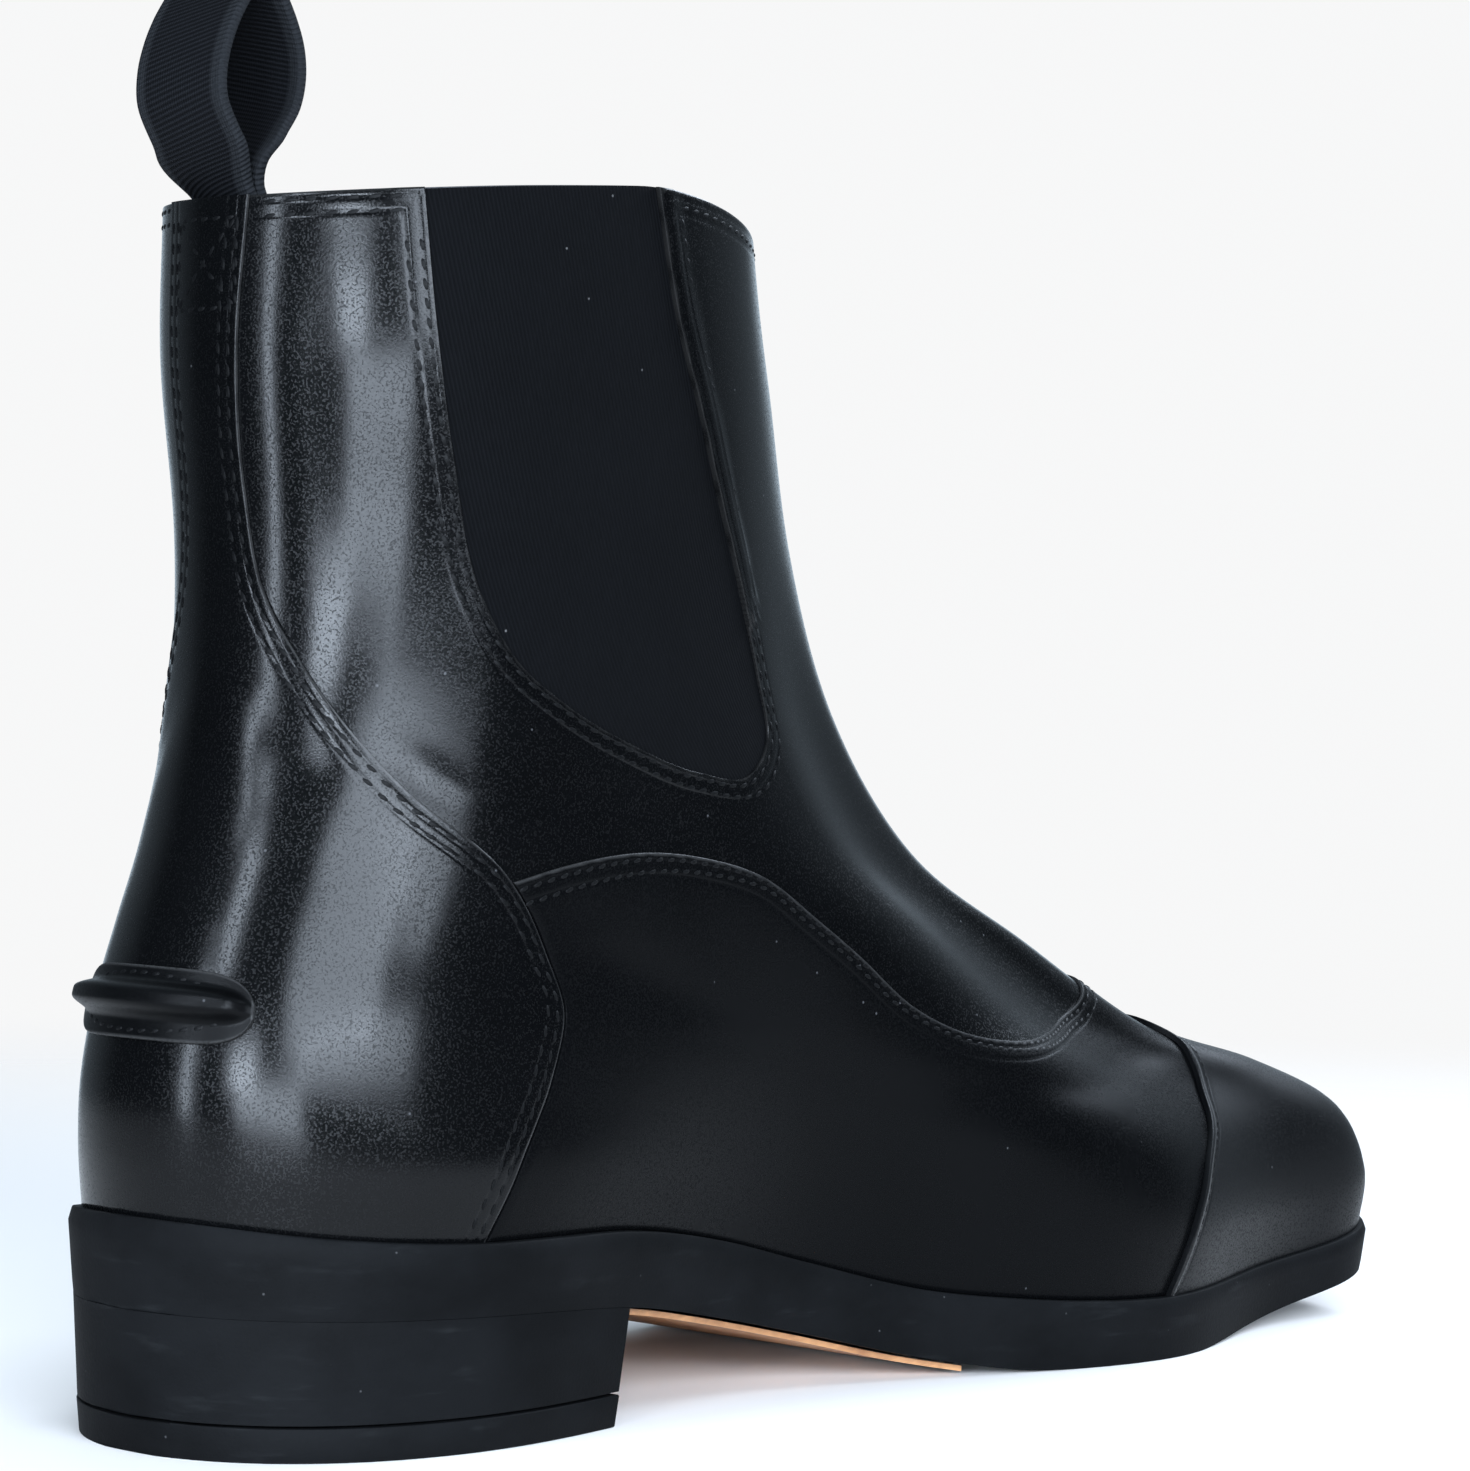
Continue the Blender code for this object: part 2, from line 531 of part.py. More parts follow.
def add_quarters():
    """Side panels round the gore, from the counter to the zip and down to the vamp."""
    back_angle, back_row = counter_edge(-SEAM_GAP / 2.0, JUNCTION_ROW, TOP_ROW)
    back_angle, back_row = back_angle[::-1], back_row[::-1]
    low_angle, low_row = seam(VAMP_EDGE, VAMP_STEPS, SEAM_GAP / 2.0)
    low_angle = np.minimum(low_angle, front_angle(low_row, ZIP_BUTT_HALF))
    zip_row = np.linspace(low_row[-1], TOP_ROW, ZIP_STEPS + 1)
    aside = ZIP_BUTT_HALF + (ZIP_EDGE_HALF - ZIP_BUTT_HALF) * ease((zip_row - ZIP_PART_ROW) / ZIP_PART_ROWS)
    zip_angle = front_angle(zip_row, aside)
    gore = seam(GORE_EDGE, GORE_STEPS, -SEAM_GAP / 2.0)
    gore[1][[0, -1]] = TOP_ROW
    lines = ((back_angle, back_row), (low_angle[1:], low_row[1:]), (zip_angle, zip_row),
             level(TOP_ROW, zip_angle[-1], gore[0][-1]), (gore[0][::-1], gore[1][::-1]),
             level(TOP_ROW, gore[0][0], back_angle[0]))
    cut_panel("quarter_outer", outline(*lines), QUARTER_FACE, LEATHER)
    cut_panel("quarter_inner", outline(*[flip(line) for line in reversed(lines)]), QUARTER_FACE, LEATHER)


def add_gores():
    edge = seam(GORE_EDGE, GORE_STEPS, SEAM_GAP / 2.0)
    edge[1][[0, -1]] = TOP_ROW
    lines = (edge, level(TOP_ROW, edge[0][-1], edge[0][0]))
    cut_panel("gore_outer", outline(*lines), GORE_FACE, ELASTIC)
    cut_panel("gore_inner", outline(*[flip(line) for line in reversed(lines)]), GORE_FACE, ELASTIC)


def strip(name, half, rows, layers, steps, finish):
    """Straight strip down the centre front, between two layers, in steps across and along."""
    row = np.linspace(*rows, steps[1] + 1)
    aside = np.linspace(-half, half, steps[0] + 1)
    angle = front_angle(row[None, :], aside[:, None])
    outer, inner = (skin(angle, row[None, :], lift) for lift in layers)
    sheet_solid(name, outer, inner, finish)


def zip_frame():
    """Origin on the front face at the slider, with its up, out and side directions."""
    origin = skin(math.pi, SLIDER_ROW)
    upward = skin(math.pi, SLIDER_ROW + SLIDER_ROWS) - skin(math.pi, SLIDER_ROW - SLIDER_ROWS)
    upward = upward * np.array([1.0, 0.0, 1.0])
    upward = upward / np.linalg.norm(upward)
    side = np.array([0.0, 1.0, 0.0])
    return origin, upward, np.cross(side, upward), side


def prism(mesh, section, half, frame):
    """Section of along and out places, extruded to both sides."""
    origin, upward, out, side = frame
    points = [origin + upward * along + out * lift - side * half for along, lift in section]
    base = mesh.faces.new([mesh.verts.new(point) for point in points])
    grown = bmesh.ops.extrude_face_region(mesh, geom=[base])
    moved = [item for item in grown["geom"] if isinstance(item, bmesh.types.BMVert)]
    bmesh.ops.translate(mesh, verts=moved, vec=tuple(side * 2.0 * half))


def add_slider():
    """Slider body with an open hook that carries the pull tab's bar."""
    body = ((-SLIDER_HALF_LENGTH, SLIDER_FOOT), (SLIDER_HALF_LENGTH, SLIDER_FOOT),
            (SLIDER_HALF_LENGTH, SLIDER_TOP - SLIDER_CHAMFER),
            (SLIDER_HALF_LENGTH - SLIDER_NOSE, SLIDER_TOP),
            (HOOK_REAR[1], SLIDER_TOP), (HOOK_REAR[1], HOOK_ROOF[1] - SLIDER_CHAMFER),
            (HOOK_REAR[1] - SLIDER_CHAMFER, HOOK_ROOF[1]), (HOOK_TIP[0] + SLIDER_CHAMFER, HOOK_ROOF[1]),
            (HOOK_TIP[0], HOOK_ROOF[1] - SLIDER_CHAMFER), (HOOK_TIP[0], HOOK_MOUTH),
            (HOOK_TIP[1], HOOK_MOUTH), (HOOK_TIP[1], HOOK_ROOF[0]), (HOOK_REAR[0], HOOK_ROOF[0]),
            (HOOK_REAR[0], SLIDER_TOP), (-SLIDER_HALF_LENGTH + SLIDER_NOSE, SLIDER_TOP),
            (-SLIDER_HALF_LENGTH, SLIDER_TOP - SLIDER_CHAMFER))
    mesh = bmesh.new()
    prism(mesh, body, SLIDER_HALF_WIDTH, zip_frame())
    new_object("zip_slider", mesh, **STEEL)


def add_pull():
    """Tab with an eye whose upper bar lies in the slider's hook; its origin is on the pivot."""
    origin, upward, out, side = zip_frame()
    pivot = origin + upward * PIVOT[0] + out * PIVOT[1]
    outer = [(-BAR_HALF, PULL_TOP_HALF)] + list(PULL_OUTLINE)
    outer = outer + [(down, -half) for down, half in reversed(outer)]
    eye = [(BAR_HALF, PULL_EYE_HALF), (PULL_EYE_END, PULL_EYE_HALF)]
    eye = eye + [(down, -half) for down, half in reversed(eye)]
    mesh = bmesh.new()
    faces = []
    for lift in (-BAR_HALF, BAR_HALF):
        rings = []
        for shape in (outer, eye):
            points = [pivot - upward * down + side * half + out * lift for down, half in shape]
            ring = [mesh.verts.new(point) for point in points]
            rings.append(ring)
        faces.append(rings)
    last = len(outer) - 1
    for rings in faces:
        edge, hole = rings
        mesh.faces.new((edge[0], hole[0], hole[3], edge[last]))
        mesh.faces.new((edge[0], edge[1], hole[1], hole[0]))
        mesh.faces.new((edge[last], hole[3], hole[2], edge[last - 1]))
        mesh.faces.new((edge[1], edge[last - 1], hole[2], hole[1]))
        for here in range(1, len(PULL_OUTLINE)):
            mesh.faces.new((edge[here], edge[here + 1], edge[last - here - 1], edge[last - here]))
    for low, high in zip(*faces):
        quad_strip(mesh, low + [low[0]], high + [high[0]])
    thing = new_object("zip_pull", mesh, **STEEL)
    place = Vector((pivot[0] - CENTRE[0], pivot[1] - CENTRE[1], pivot[2])) * MM
    thing.data.transform(Matrix.Translation(-place))
    thing.location = place


def add_spur_rest():
    """Ledge sewn on the counter: a flat oval tab with a rounded ridge along it."""
    across = np.linspace(-1.0, 1.0, SPUR_STEPS[0] + 1)[:, None]
    height = np.linspace(-1.0, 1.0, SPUR_STEPS[1] + 1)[None, :]
    round_end = np.sqrt(np.clip(1.0 - np.abs(across) ** SPUR_ROUND, SPUR_END ** 2, 1.0))
    row = SPUR_ROW + SPUR_HALF_ROWS * height * round_end
    angle = np.radians(SPUR_DEGREES) * across * np.ones_like(height)
    foot = COUNTER_FACE + SEAT_GAP
    ridge = np.exp(-(((height + 1.0) / 2.0 - SPUR_RIDGE_PLACE) / SPUR_RIDGE_WIDTH) ** 4)
    ridge = ridge * ease((1.0 - np.abs(across)) / SPUR_RIDGE_FADE)
    face = foot + SPUR_FLANGE + SPUR_RIDGE * ridge
    sheet_solid("spur_rest", skin(angle, row, face), skin(angle, row, foot), LEATHER)


def loop_path():
    """Middle line of the pull loop, from the foot of its back leg to the foot of its front leg."""
    inner_wall = UPPER_FACE - UPPER_WALL
    wall = skin(0.0, np.array(LOOP_WALL_ROWS), inner_wall)
    leg_heights = np.linspace(LOOP_LEG_END, LOOP_LEG_TOP, LOOP_LEG_STEPS + 1)
    leg = np.interp(leg_heights, wall[:, 2], wall[:, 0]) + LOOP_GAP + LOOP_THICK / 2.0
    side = np.array(LOOP_SIDE)
    rise = np.stack([leg[-1] + side[:, 0], side[:, 2]], 1)
    half = np.stack([side[:, 1], np.zeros(len(side))], 1)
    back = np.concatenate([np.stack([leg, leg_heights], 1), rise - half])
    front = np.concatenate([np.stack([leg + LOOP_THICK + SEAT_GAP, leg_heights], 1), rise + half])
    top = [(rise[-1][0], LOOP_TOP)]
    return np.concatenate([back, top, front[::-1]])


def add_pull_loop():
    """Webbing strap bent to a drop shape, both legs inside the back of the collar."""
    path = loop_path()
    tangent = np.gradient(path, axis=0)
    tangent = tangent / np.linalg.norm(tangent, axis=1, keepdims=True)
    normal = np.stack([-tangent[:, 1], tangent[:, 0]], 1)
    strap = np.linspace(-LOOP_WIDTH / 2.0, LOOP_WIDTH / 2.0, LOOP_ACROSS_STEPS + 1)
    lean = LOOP_LEAN * ease((LOOP_LEAN_TOP - path[:, 1]) / LOOP_LEAN_FADE)
    across = strap[None, :] + (LOOP_ASIDE + lean)[:, None]
    held = ease((LOOP_FREE - path[:, 1]) / LOOP_FADE)
    sides = []
    for offset in (LOOP_THICK / 2.0, -LOOP_THICK / 2.0):
        line = path + normal * offset
        x = line[:, 0][:, None] + LOOP_BOW * held[:, None] * across ** 2
        z = np.broadcast_to(line[:, 1][:, None], x.shape)
        sides.append(np.stack([x, across, z], -1))
    sheet_solid("pull_loop", sides[0], sides[1], WEBBING)


def plan_loop(lift, count):
    """Outline at the feather line: matching places on the outer and the inner side, heel to toe."""
    angle = np.linspace(0.0, math.pi, count + 1)
    return skin(angle, 0.0, lift), skin(-angle, 0.0, lift)


def slab(name, levels, finish):
    """Solid of stacked outlines, each a pair of matching side lines that share both ends."""
    mesh = bmesh.new()
    loops = []
    for outer, inner in levels:
        ring = [mesh.verts.new(point) for point in outer]
        back = [mesh.verts.new(point) for point in inner[1:-1]]
        loops.append((ring, [ring[0]] + back + [ring[-1]]))
    for below, above in zip(loops, loops[1:]):
        quad_strip(mesh, below[0], above[0])
        quad_strip(mesh, above[1], below[1])
    for outer, inner in (loops[0], loops[-1]):
        for here in range(len(outer) - 1):
            corners = [outer[here], outer[here + 1], inner[here + 1], inner[here]]
            mesh.faces.new(list(dict.fromkeys(corners)))
    return new_object(name, mesh, **finish)


def with_height(line, height):
    line = line.copy()
    line[:, 2] = height(line[:, 0])
    return line


def add_outsole():
    levels = []
    for share, lip in SOLE_SECTION:
        def height(along, share=share):
            return sole_low(along) + share * (sole_top(along) - SEAT_GAP - sole_low(along))
        outer, inner = plan_loop(lip, SOLE_COLUMNS_HALF)
        levels.append((with_height(outer, height), with_height(inner, height)))
    slab("outsole", levels, RUBBER)


def add_insole():
    lift = UPPER_FACE - UPPER_WALL - INSOLE_GAP
    levels = []
    for rise, draw in ((0.0, 0.0), (INSOLE_THICK * INSOLE_EDGE, 0.0), (INSOLE_THICK, -INSOLE_RIM)):
        def height(along, rise=rise):
            return sole_top(along) + rise
        outer, inner = plan_loop(lift + draw, UPPER_COLUMNS // 2)
        levels.append((with_height(outer, height), with_height(inner, height)))
    slab("insole", levels, LINING)


def heel_line(lip, breast, side):
    """Half outline of the heel from its back to the breast, on one side."""
    angle = np.linspace(0.0, side * math.pi / 2.0, FINE_STEPS)
    along = skin(angle, 0.0, lip)[:, 0]
    end = np.interp(breast, along, angle)
    return skin(np.linspace(0.0, end, HEEL_COLUMNS_HALF + 1), 0.0, lip)


def heel_level(lip, breast, height):
    return [with_height(heel_line(lip, breast, side), height) for side in (1.0, -1.0)]


def heel_solid(name, levels, finish):
    """Solid of stacked heel outlines, closed by a flat breast."""
    mesh = bmesh.new()
    loops = []
    for outer, inner in levels:
        ring = [mesh.verts.new(point) for point in outer]
        loops.append((ring, [ring[0]] + [mesh.verts.new(point) for point in inner[1:]]))
    for below, above in zip(loops, loops[1:]):
        quad_strip(mesh, below[0], above[0])
        quad_strip(mesh, above[1], below[1])
        mesh.faces.new((below[0][-1], below[1][-1], above[1][-1], above[0][-1]))
    for outer, inner in (loops[0], loops[-1]):
        for here in range(len(outer) - 1):
            corners = [outer[here], outer[here + 1], inner[here + 1], inner[here]]
            mesh.faces.new(list(dict.fromkeys(corners)))
    return new_object(name, mesh, **finish)


def add_heel():
    def block_top(along):
        return sole_low(along) - SEAT_GAP

    def flat(height):
        return lambda along: np.full_like(along, height)

    block = [heel_level(HEEL_FOOT_LIP, BREAST_PIECE, flat(TOP_PIECE_HEIGHT + SEAT_GAP)),
             heel_level(HEEL_TOP_LIP, BREAST_TOP, block_top)]
    heel_solid("heel_block", block, RUBBER)
    top_piece = [heel_level(GROUND_LIP, BREAST_FOOT, flat(0.0)),
                 heel_level(TOP_PIECE_LIP, BREAST_PIECE, flat(TOP_PIECE_HEIGHT))]
    heel_solid("heel_top_piece", top_piece, RUBBER)


def add_waist_panel():
    """Thin tan panel on the underside between the heel breast and the ball."""
    along = np.linspace(WAIST_FROM, WAIST_TO, WAIST_STEPS[1] + 1)
    angle = np.linspace(0.0, math.pi, FINE_STEPS)
    edges = []
    for side in (-1.0, 1.0):
        line = skin(side * angle, 0.0, WAIST_INSET)
        edges.append(np.interp(along, line[:, 0], line[:, 1]))
    across = between(edges[0], edges[1], WAIST_STEPS[0])
    place = np.broadcast_to(along, across.shape)
    seat = sole_low(place) - SEAT_GAP
    top = np.stack([place, across, seat], -1)
    low = np.stack([place, across, seat - WAIST_THICK], -1)
    sheet_solid("waist_panel", top, low, TAN)


def sole_centre():
    """Middle of the sole's outline, where the boot's origin stands."""
    edge = np.concatenate(plan_loop(SOLE_LIP, SOLE_COLUMNS_HALF))
    return (edge.min(axis=0) + edge.max(axis=0))[:2] / 2.0


for leftover in list(bpy.data.objects):
    bpy.data.objects.remove(leftover)

CENTRE = sole_centre()

add_outsole()
add_heel()
add_waist_panel()
add_insole()
add_upper()
add_counter()
add_toe_cap()
add_vamp()
add_quarters()
add_gores()
add_spur_rest()
add_pull_loop()
strip("zip_tape", TAPE_HALF, TAPE_ROWS, (TAPE_FACE, TAPE_FACE - TAPE_THICK), TAPE_STEPS, ELASTIC)
strip("zip_chain", CHAIN_HALF, CHAIN_ROWS, (CHAIN_FACE, CHAIN_BACK), CHAIN_STEPS, STEEL)
add_slider()
add_pull()
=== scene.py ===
"""Looks of the left jodhpur boot: leather panels, stitching, elastic, zip, webbing loop and sole.

Lengths are in millimetres until a piece is finished: X along the foot from the back of the sole, Y
across it (positive on the outer side), Z up. A panel is cut flat and wrapped on the last by an angle
round the foot from the heel and a row up the boot from the sole.
"""
import math

import bmesh
import bpy
import numpy as np
from mathutils import Matrix, Vector


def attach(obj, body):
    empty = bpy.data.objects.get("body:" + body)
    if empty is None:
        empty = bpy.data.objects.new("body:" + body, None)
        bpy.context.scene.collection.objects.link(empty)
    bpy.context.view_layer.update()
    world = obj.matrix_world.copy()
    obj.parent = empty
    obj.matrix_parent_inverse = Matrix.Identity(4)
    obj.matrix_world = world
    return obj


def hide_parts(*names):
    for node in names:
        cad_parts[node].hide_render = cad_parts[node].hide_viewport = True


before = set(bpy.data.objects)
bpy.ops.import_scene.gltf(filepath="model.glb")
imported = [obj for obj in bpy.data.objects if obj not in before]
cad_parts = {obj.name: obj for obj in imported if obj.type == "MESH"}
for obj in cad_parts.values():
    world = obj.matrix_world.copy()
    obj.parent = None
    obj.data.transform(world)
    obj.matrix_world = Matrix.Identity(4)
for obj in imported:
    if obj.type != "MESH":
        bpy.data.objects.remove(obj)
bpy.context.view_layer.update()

MM = 0.001
SMALL_STEP = 1e-3
MERGE = 1e-3
SMOOTH_DEGREES = 40.0
LINE_STEPS = 240
SHARES = np.linspace(0.0, 1.0, LINE_STEPS + 1)  # of a line's length

LAST_LENGTH = 282.0
BALL_WIDTH = 83.0
COLLAR_HEIGHT = 182.5
HEEL_HEIGHT = 20.5
ORIGIN = Vector((142.692, 0.7728, 0.0))  # design place of the frame's origin

# Rings: hundredths of LAST_LENGTH along the foot (back, front), of COLLAR_HEIGHT for heights, and of
# BALL_WIDTH for the toe's lean, the end roundings and the half widths
RING_COLUMNS = ("back", "back_up", "front", "front_up", "lean", "back_round", "front_round",
                "heel", "waist_in", "waist_out", "ball_in", "ball_out", "toe_in", "toe_out")
RINGS = (
    ("feather", 1.2, 18.4, 100.0, 9.3, -6.0, 36.0, 37.5, 38.5, 26.5, 41.0, 45.0, 55.0, 29.0, 36.0),
    ("wall", 0.9, 23.6, 100.4, 14.8, -6.0, 36.0, 37.5, 40.0, 29.5, 41.5, 47.0, 56.0, 30.0, 37.5),
    ("toe_box", 0.9, 29.0, 97.5, 20.5, -6.0, 35.0, 35.0, 39.0, 32.5, 41.0, 45.0, 53.0, 28.5, 35.0),
    ("toe_top", 1.6, 35.1, 90.1, 24.7, -5.0, 34.0, 30.0, 37.5, 34.5, 40.0, 40.0, 46.0, 24.5, 29.0),
    ("vamp", 2.8, 41.1, 79.8, 28.7, -3.5, 32.5, 24.0, 35.5, 36.0, 39.0, 36.0, 40.0, 21.5, 24.0),
    ("low", 4.3, 47.7, 68.1, 37.5, -2.5, 31.5, 23.0, 34.0, 37.5, 39.0, 34.0, 36.0, 19.5, 20.5),
    ("throat", 5.4, 54.8, 58.0, 45.5, -1.0, 31.5, 24.0, 32.5, 38.5, 40.0, 34.0, 35.0, 20.5, 21.0),
    ("instep", 6.15, 63.0, 50.7, 57.5, 0.0, 31.5, 26.5, 31.4, 40.0, 40.5, 35.0, 35.5, 21.5, 21.5),
    ("ankle", 6.2, 72.9, 45.8, 72.3, 0.0, 32.5, 29.0, 31.0, 41.5, 41.5, 37.5, 37.5, 24.0, 24.0),
    ("shaft", 5.35, 86.0, 42.9, 88.6, 0.0, 34.0, 31.5, 32.0, 43.5, 43.5, 40.5, 40.5, 26.0, 26.0),
    ("collar", 5.35, 98.3, 40.9, 103.2, 0.0, 34.0, 34.0, 31.5, 44.5, 44.5, 41.5, 41.5, 27.0, 27.0),
)
TOP_ROW = len(RINGS) - 1
STATIONS = (0.0, 0.12, 0.40, 0.68, 0.90, 1.0)  # shares of a ring's length: heel, waist, ball, toe
SAG_ROWS = 5.0  # rows that follow the dip of the sole's top
COLLAR_DIP = 11.0  # drop of the collar towards the zip, how it grows, and where it starts
COLLAR_DIP_POWER = 1.5
COLLAR_DIP_ROW = 8.5
LEVEL_ROWS = 0.8  # rows over the sole in which the panels come to face level

# Sole profile: hundredths of LAST_LENGTH along the foot, top height, underside height over HEEL_HEIGHT
SOLE_PROFILE = (
    (0.0, 34.0, 1.00),
    (5.3, 32.0, 0.985),
    (12.8, 30.4, 0.965),
    (19.5, 30.0, 0.935),
    (25.5, 29.4, 0.88),
    (35.5, 25.2, 0.645),
    (42.5, 20.4, 0.44),
    (51.4, 14.3, 0.16),
    (58.0, 12.0, 0.02),
    (63.8, 10.8, 0.0),
    (73.0, 10.5, 0.0),
    (81.6, 11.1, 0.075),
    (88.6, 12.4, 0.185),
    (101.0, 17.5, 0.46),
)
SOLE_ALONG, SOLE_TOP, SOLE_LOW = np.array(SOLE_PROFILE).T

# Stitched edges: row up the boot and degrees round from the heel
COUNTER_LOW = ((0.0, 43.0), (1.2, 46.5), (2.3, 51.0), (3.4, 54.5), (4.1, 54.0), (4.85, 51.0))
COUNTER_EDGE_IN = COUNTER_LOW + ((5.8, 36.5), (6.9, 19.5), (7.5, 11.0), (8.2, 7.0), (9.0, 7.0),
                                 (10.0, 9.5))
COUNTER_EDGE_OUT = COUNTER_LOW + ((5.8, 38.0), (6.9, 25.0), (7.5, 19.5), (8.2, 18.0), (9.0, 19.0),
                                  (10.0, 20.0))
GORE_EDGE = ((10.0, 44.0), (9.1, 46.0), (8.4, 48.0), (7.5, 52.0), (7.05, 57.5), (6.75, 66.0),
             (6.5, 78.0), (6.36, 90.0), (6.42, 101.0), (6.75, 109.5), (7.2, 112.0), (7.7, 111.0),
             (8.5, 104.5), (9.2, 97.5), (10.0, 93.0))
VAMP_EDGE = ((4.85, 51.0), (5.1, 59.0), (5.4, 73.0), (5.45, 83.0), (5.3, 92.0), (4.9, 95.5),
             (4.5, 98.5), (4.0, 100.5), (3.7, 104.0), (3.62, 110.0), (3.8, 121.0), (4.15, 137.0),
             (4.5, 155.0), (4.65, 180.0))
CAP_EDGE = ((0.0, 111.5), (0.85, 113.0), (1.6, 118.0), (2.3, 128.0), (2.8, 135.5), (3.4, 146.0),
            (3.95, 162.0), (4.1, 180.0))
JUNCTION_ROW = 4.85
ZIP_PART_ROW = 5.3
ZIP_PART_ROWS = 0.6
ZIP_EDGE_HALF = 3.5
ZIP_BUTT_HALF = 0.3

# Layers out from the quarter's face, and how far one panel runs on under the next
LINING_FACE = -1.1
LINING_WALL = 2.4
PANEL_BACK = -1.0
GORE_FACE = -0.5
QUARTER_FACE = 0.0
VAMP_FACE = 0.55
COUNTER_FACE = 0.55
CAP_FACE = 1.15
LAP = 3.0
LAP_GAP = 0.05
SKIVE = (3.6, 5.6)  # distances from a lapped edge over which its underside drops back
RIM_ROUND = 0.3
SEAM_GAP = 0.4
# Sole edge section: share of the height, distance proud of the quarter's face
SOLE_SECTION = ((0.0, 1.5), (0.12, 1.7), (0.86, 2.5), (1.0, 1.9))

# Soft creases: side (1 outer, -1 inner), from row and degrees, to row and degrees, width, depth
CREASES = (
    (-1, (6.15, 38.0), (5.75, 47.0), 2.2, 0.14),
    (-1, (5.85, 33.0), (5.40, 41.0), 2.6, 0.12),
    (-1, (9.6, 24.0), (7.6, 24.0), 5.0, 0.35),
    (-1, (6.6, 10.0), (5.6, 22.0), 5.0, 0.40),
    (-1, (4.4, 62.0), (3.2, 70.0), 6.0, 0.35),
    (-1, (2.6, 96.0), (3.3, 118.0), 5.0, 0.40),
    (-1, (2.9, 112.0), (3.5, 140.0), 4.0, 0.45),
    (1, (6.1, 38.0), (5.7, 47.0), 2.4, 0.30),
    (1, (6.6, 14.0), (5.6, 24.0), 5.0, 0.40),
    (1, (2.6, 96.0), (3.3, 118.0), 5.0, 0.45),
    (1, (2.9, 112.0), (3.5, 140.0), 4.0, 0.45),
)
CREASE_ENDS = 0.35  # share of its depth that a crease keeps at its ends
FLAT_ANGLE = 45.0  # millimetres per radian and per row where creases are laid out
FLAT_ROW = 17.0


def cubic(where, knots, values):
    """Smooth curve through values at knots, along the values' last axis, read at where."""
    where, knots, values = (np.asarray(given, float) for given in (where, knots, values))
    slopes = np.gradient(values, knots, axis=-1)
    index = np.clip(np.searchsorted(knots, where, side="right") - 1, 0, len(knots) - 2)
    span = knots[index + 1] - knots[index]
    share = (where - knots[index]) / span

    def pick(table, place):
        if table.ndim == 1:
            return table[place]
        return np.take_along_axis(table, place[..., None], -1)[..., 0]

    near = (2 * share ** 3 - 3 * share ** 2 + 1) * pick(values, index)
    near = near + (share ** 3 - 2 * share ** 2 + share) * span * pick(slopes, index)
    far = (3 * share ** 2 - 2 * share ** 3) * pick(values, index + 1)
    far = far + (share ** 3 - share ** 2) * span * pick(slopes, index + 1)
    return near + far


def ease(share):
    """Smooth step from 0 to 1."""
    share = np.clip(share, 0.0, 1.0)
    return share * share * (3.0 - 2.0 * share)


def unit(vectors):
    return vectors / np.linalg.norm(vectors, axis=-1, keepdims=True)


def travelled(points):
    """Distance run along a path at each of its points."""
    return np.concatenate([[0.0], np.cumsum(np.linalg.norm(np.diff(points, axis=0), axis=1))])


def along_path(where, travel, values):
    """Values given along a path, read at distances along it."""
    return np.stack([np.interp(where, travel, column) for column in values.T], -1)


def ring_sizes(row):
    """Every column of the ring table at a row between the named rings, in millimetres."""
    scales = dict(back=LAST_LENGTH, front=LAST_LENGTH, back_up=COLLAR_HEIGHT, front_up=COLLAR_HEIGHT)
    table = np.array([ring[1:] for ring in RINGS])
    knots = np.arange(len(RINGS))
    sizes = {}
    for column, name in enumerate(RING_COLUMNS):
        sizes[name] = cubic(row, knots, table[:, column]) * scales.get(name, BALL_WIDTH) / 100.0
    return sizes


def sole_top(along):
    return cubic(along, SOLE_ALONG * LAST_LENGTH / 100.0, SOLE_TOP)


def sole_low(along):
    return np.maximum(cubic(along, SOLE_ALONG * LAST_LENGTH / 100.0, SOLE_LOW), 0.0) * HEEL_HEIGHT


def front_reach(sizes):
    """Sideways distance per radian at the very front of a ring."""
    return np.sqrt(sizes["front_round"] * (sizes["front"] - sizes["back"]) / 2.0)


def half_width(share, sizes, side):
    """Ring's half width over sin(angle), at a share of its length."""
    length = sizes["front"] - sizes["back"]
    values = [np.sqrt(sizes["back_round"] * length / 2.0)]
    columns = ("heel", "waist_" + side, "ball_" + side, "toe_" + side)
    for station, name in zip(STATIONS[1:-1], columns):
        values.append(sizes[name] / (2.0 * math.sqrt(station * (1.0 - station))))
    values.append(front_reach(sizes))
    return cubic(share, STATIONS, np.stack(np.broadcast_arrays(*values), -1))


def ring_line(sizes, share):
    """Place along the foot and height at a share of a ring's length."""
    along = sizes["back"] + share * (sizes["front"] - sizes["back"])
    return along, sizes["back_up"] + share * (sizes["front_up"] - sizes["back_up"])


def last_point(angle, row):
    """A point on the quarter's outer face."""
    angle, row = np.broadcast_arrays(np.asarray(angle, float), np.asarray(row, float))
    sizes = ring_sizes(row)
    share = (1.0 - np.cos(angle)) / 2.0
    along, up = ring_line(sizes, share)
    feather_along, feather_up = ring_line(ring_sizes(0.0), share)
    up = up + (sole_top(feather_along) - feather_up) * ease(1.0 - row / SAG_ROWS)
    dip = COLLAR_DIP * ease((row - COLLAR_DIP_ROW) / (TOP_ROW - COLLAR_DIP_ROW))
    up = up - dip * np.maximum(-np.cos(angle), 0.0) ** COLLAR_DIP_POWER
    sine = np.sin(angle)
    width = np.where(sine >= 0.0, half_width(share, sizes, "out"), half_width(share, sizes, "in"))
    return np.stack([along, sizes["lean"] * share + width * sine, up], -1)


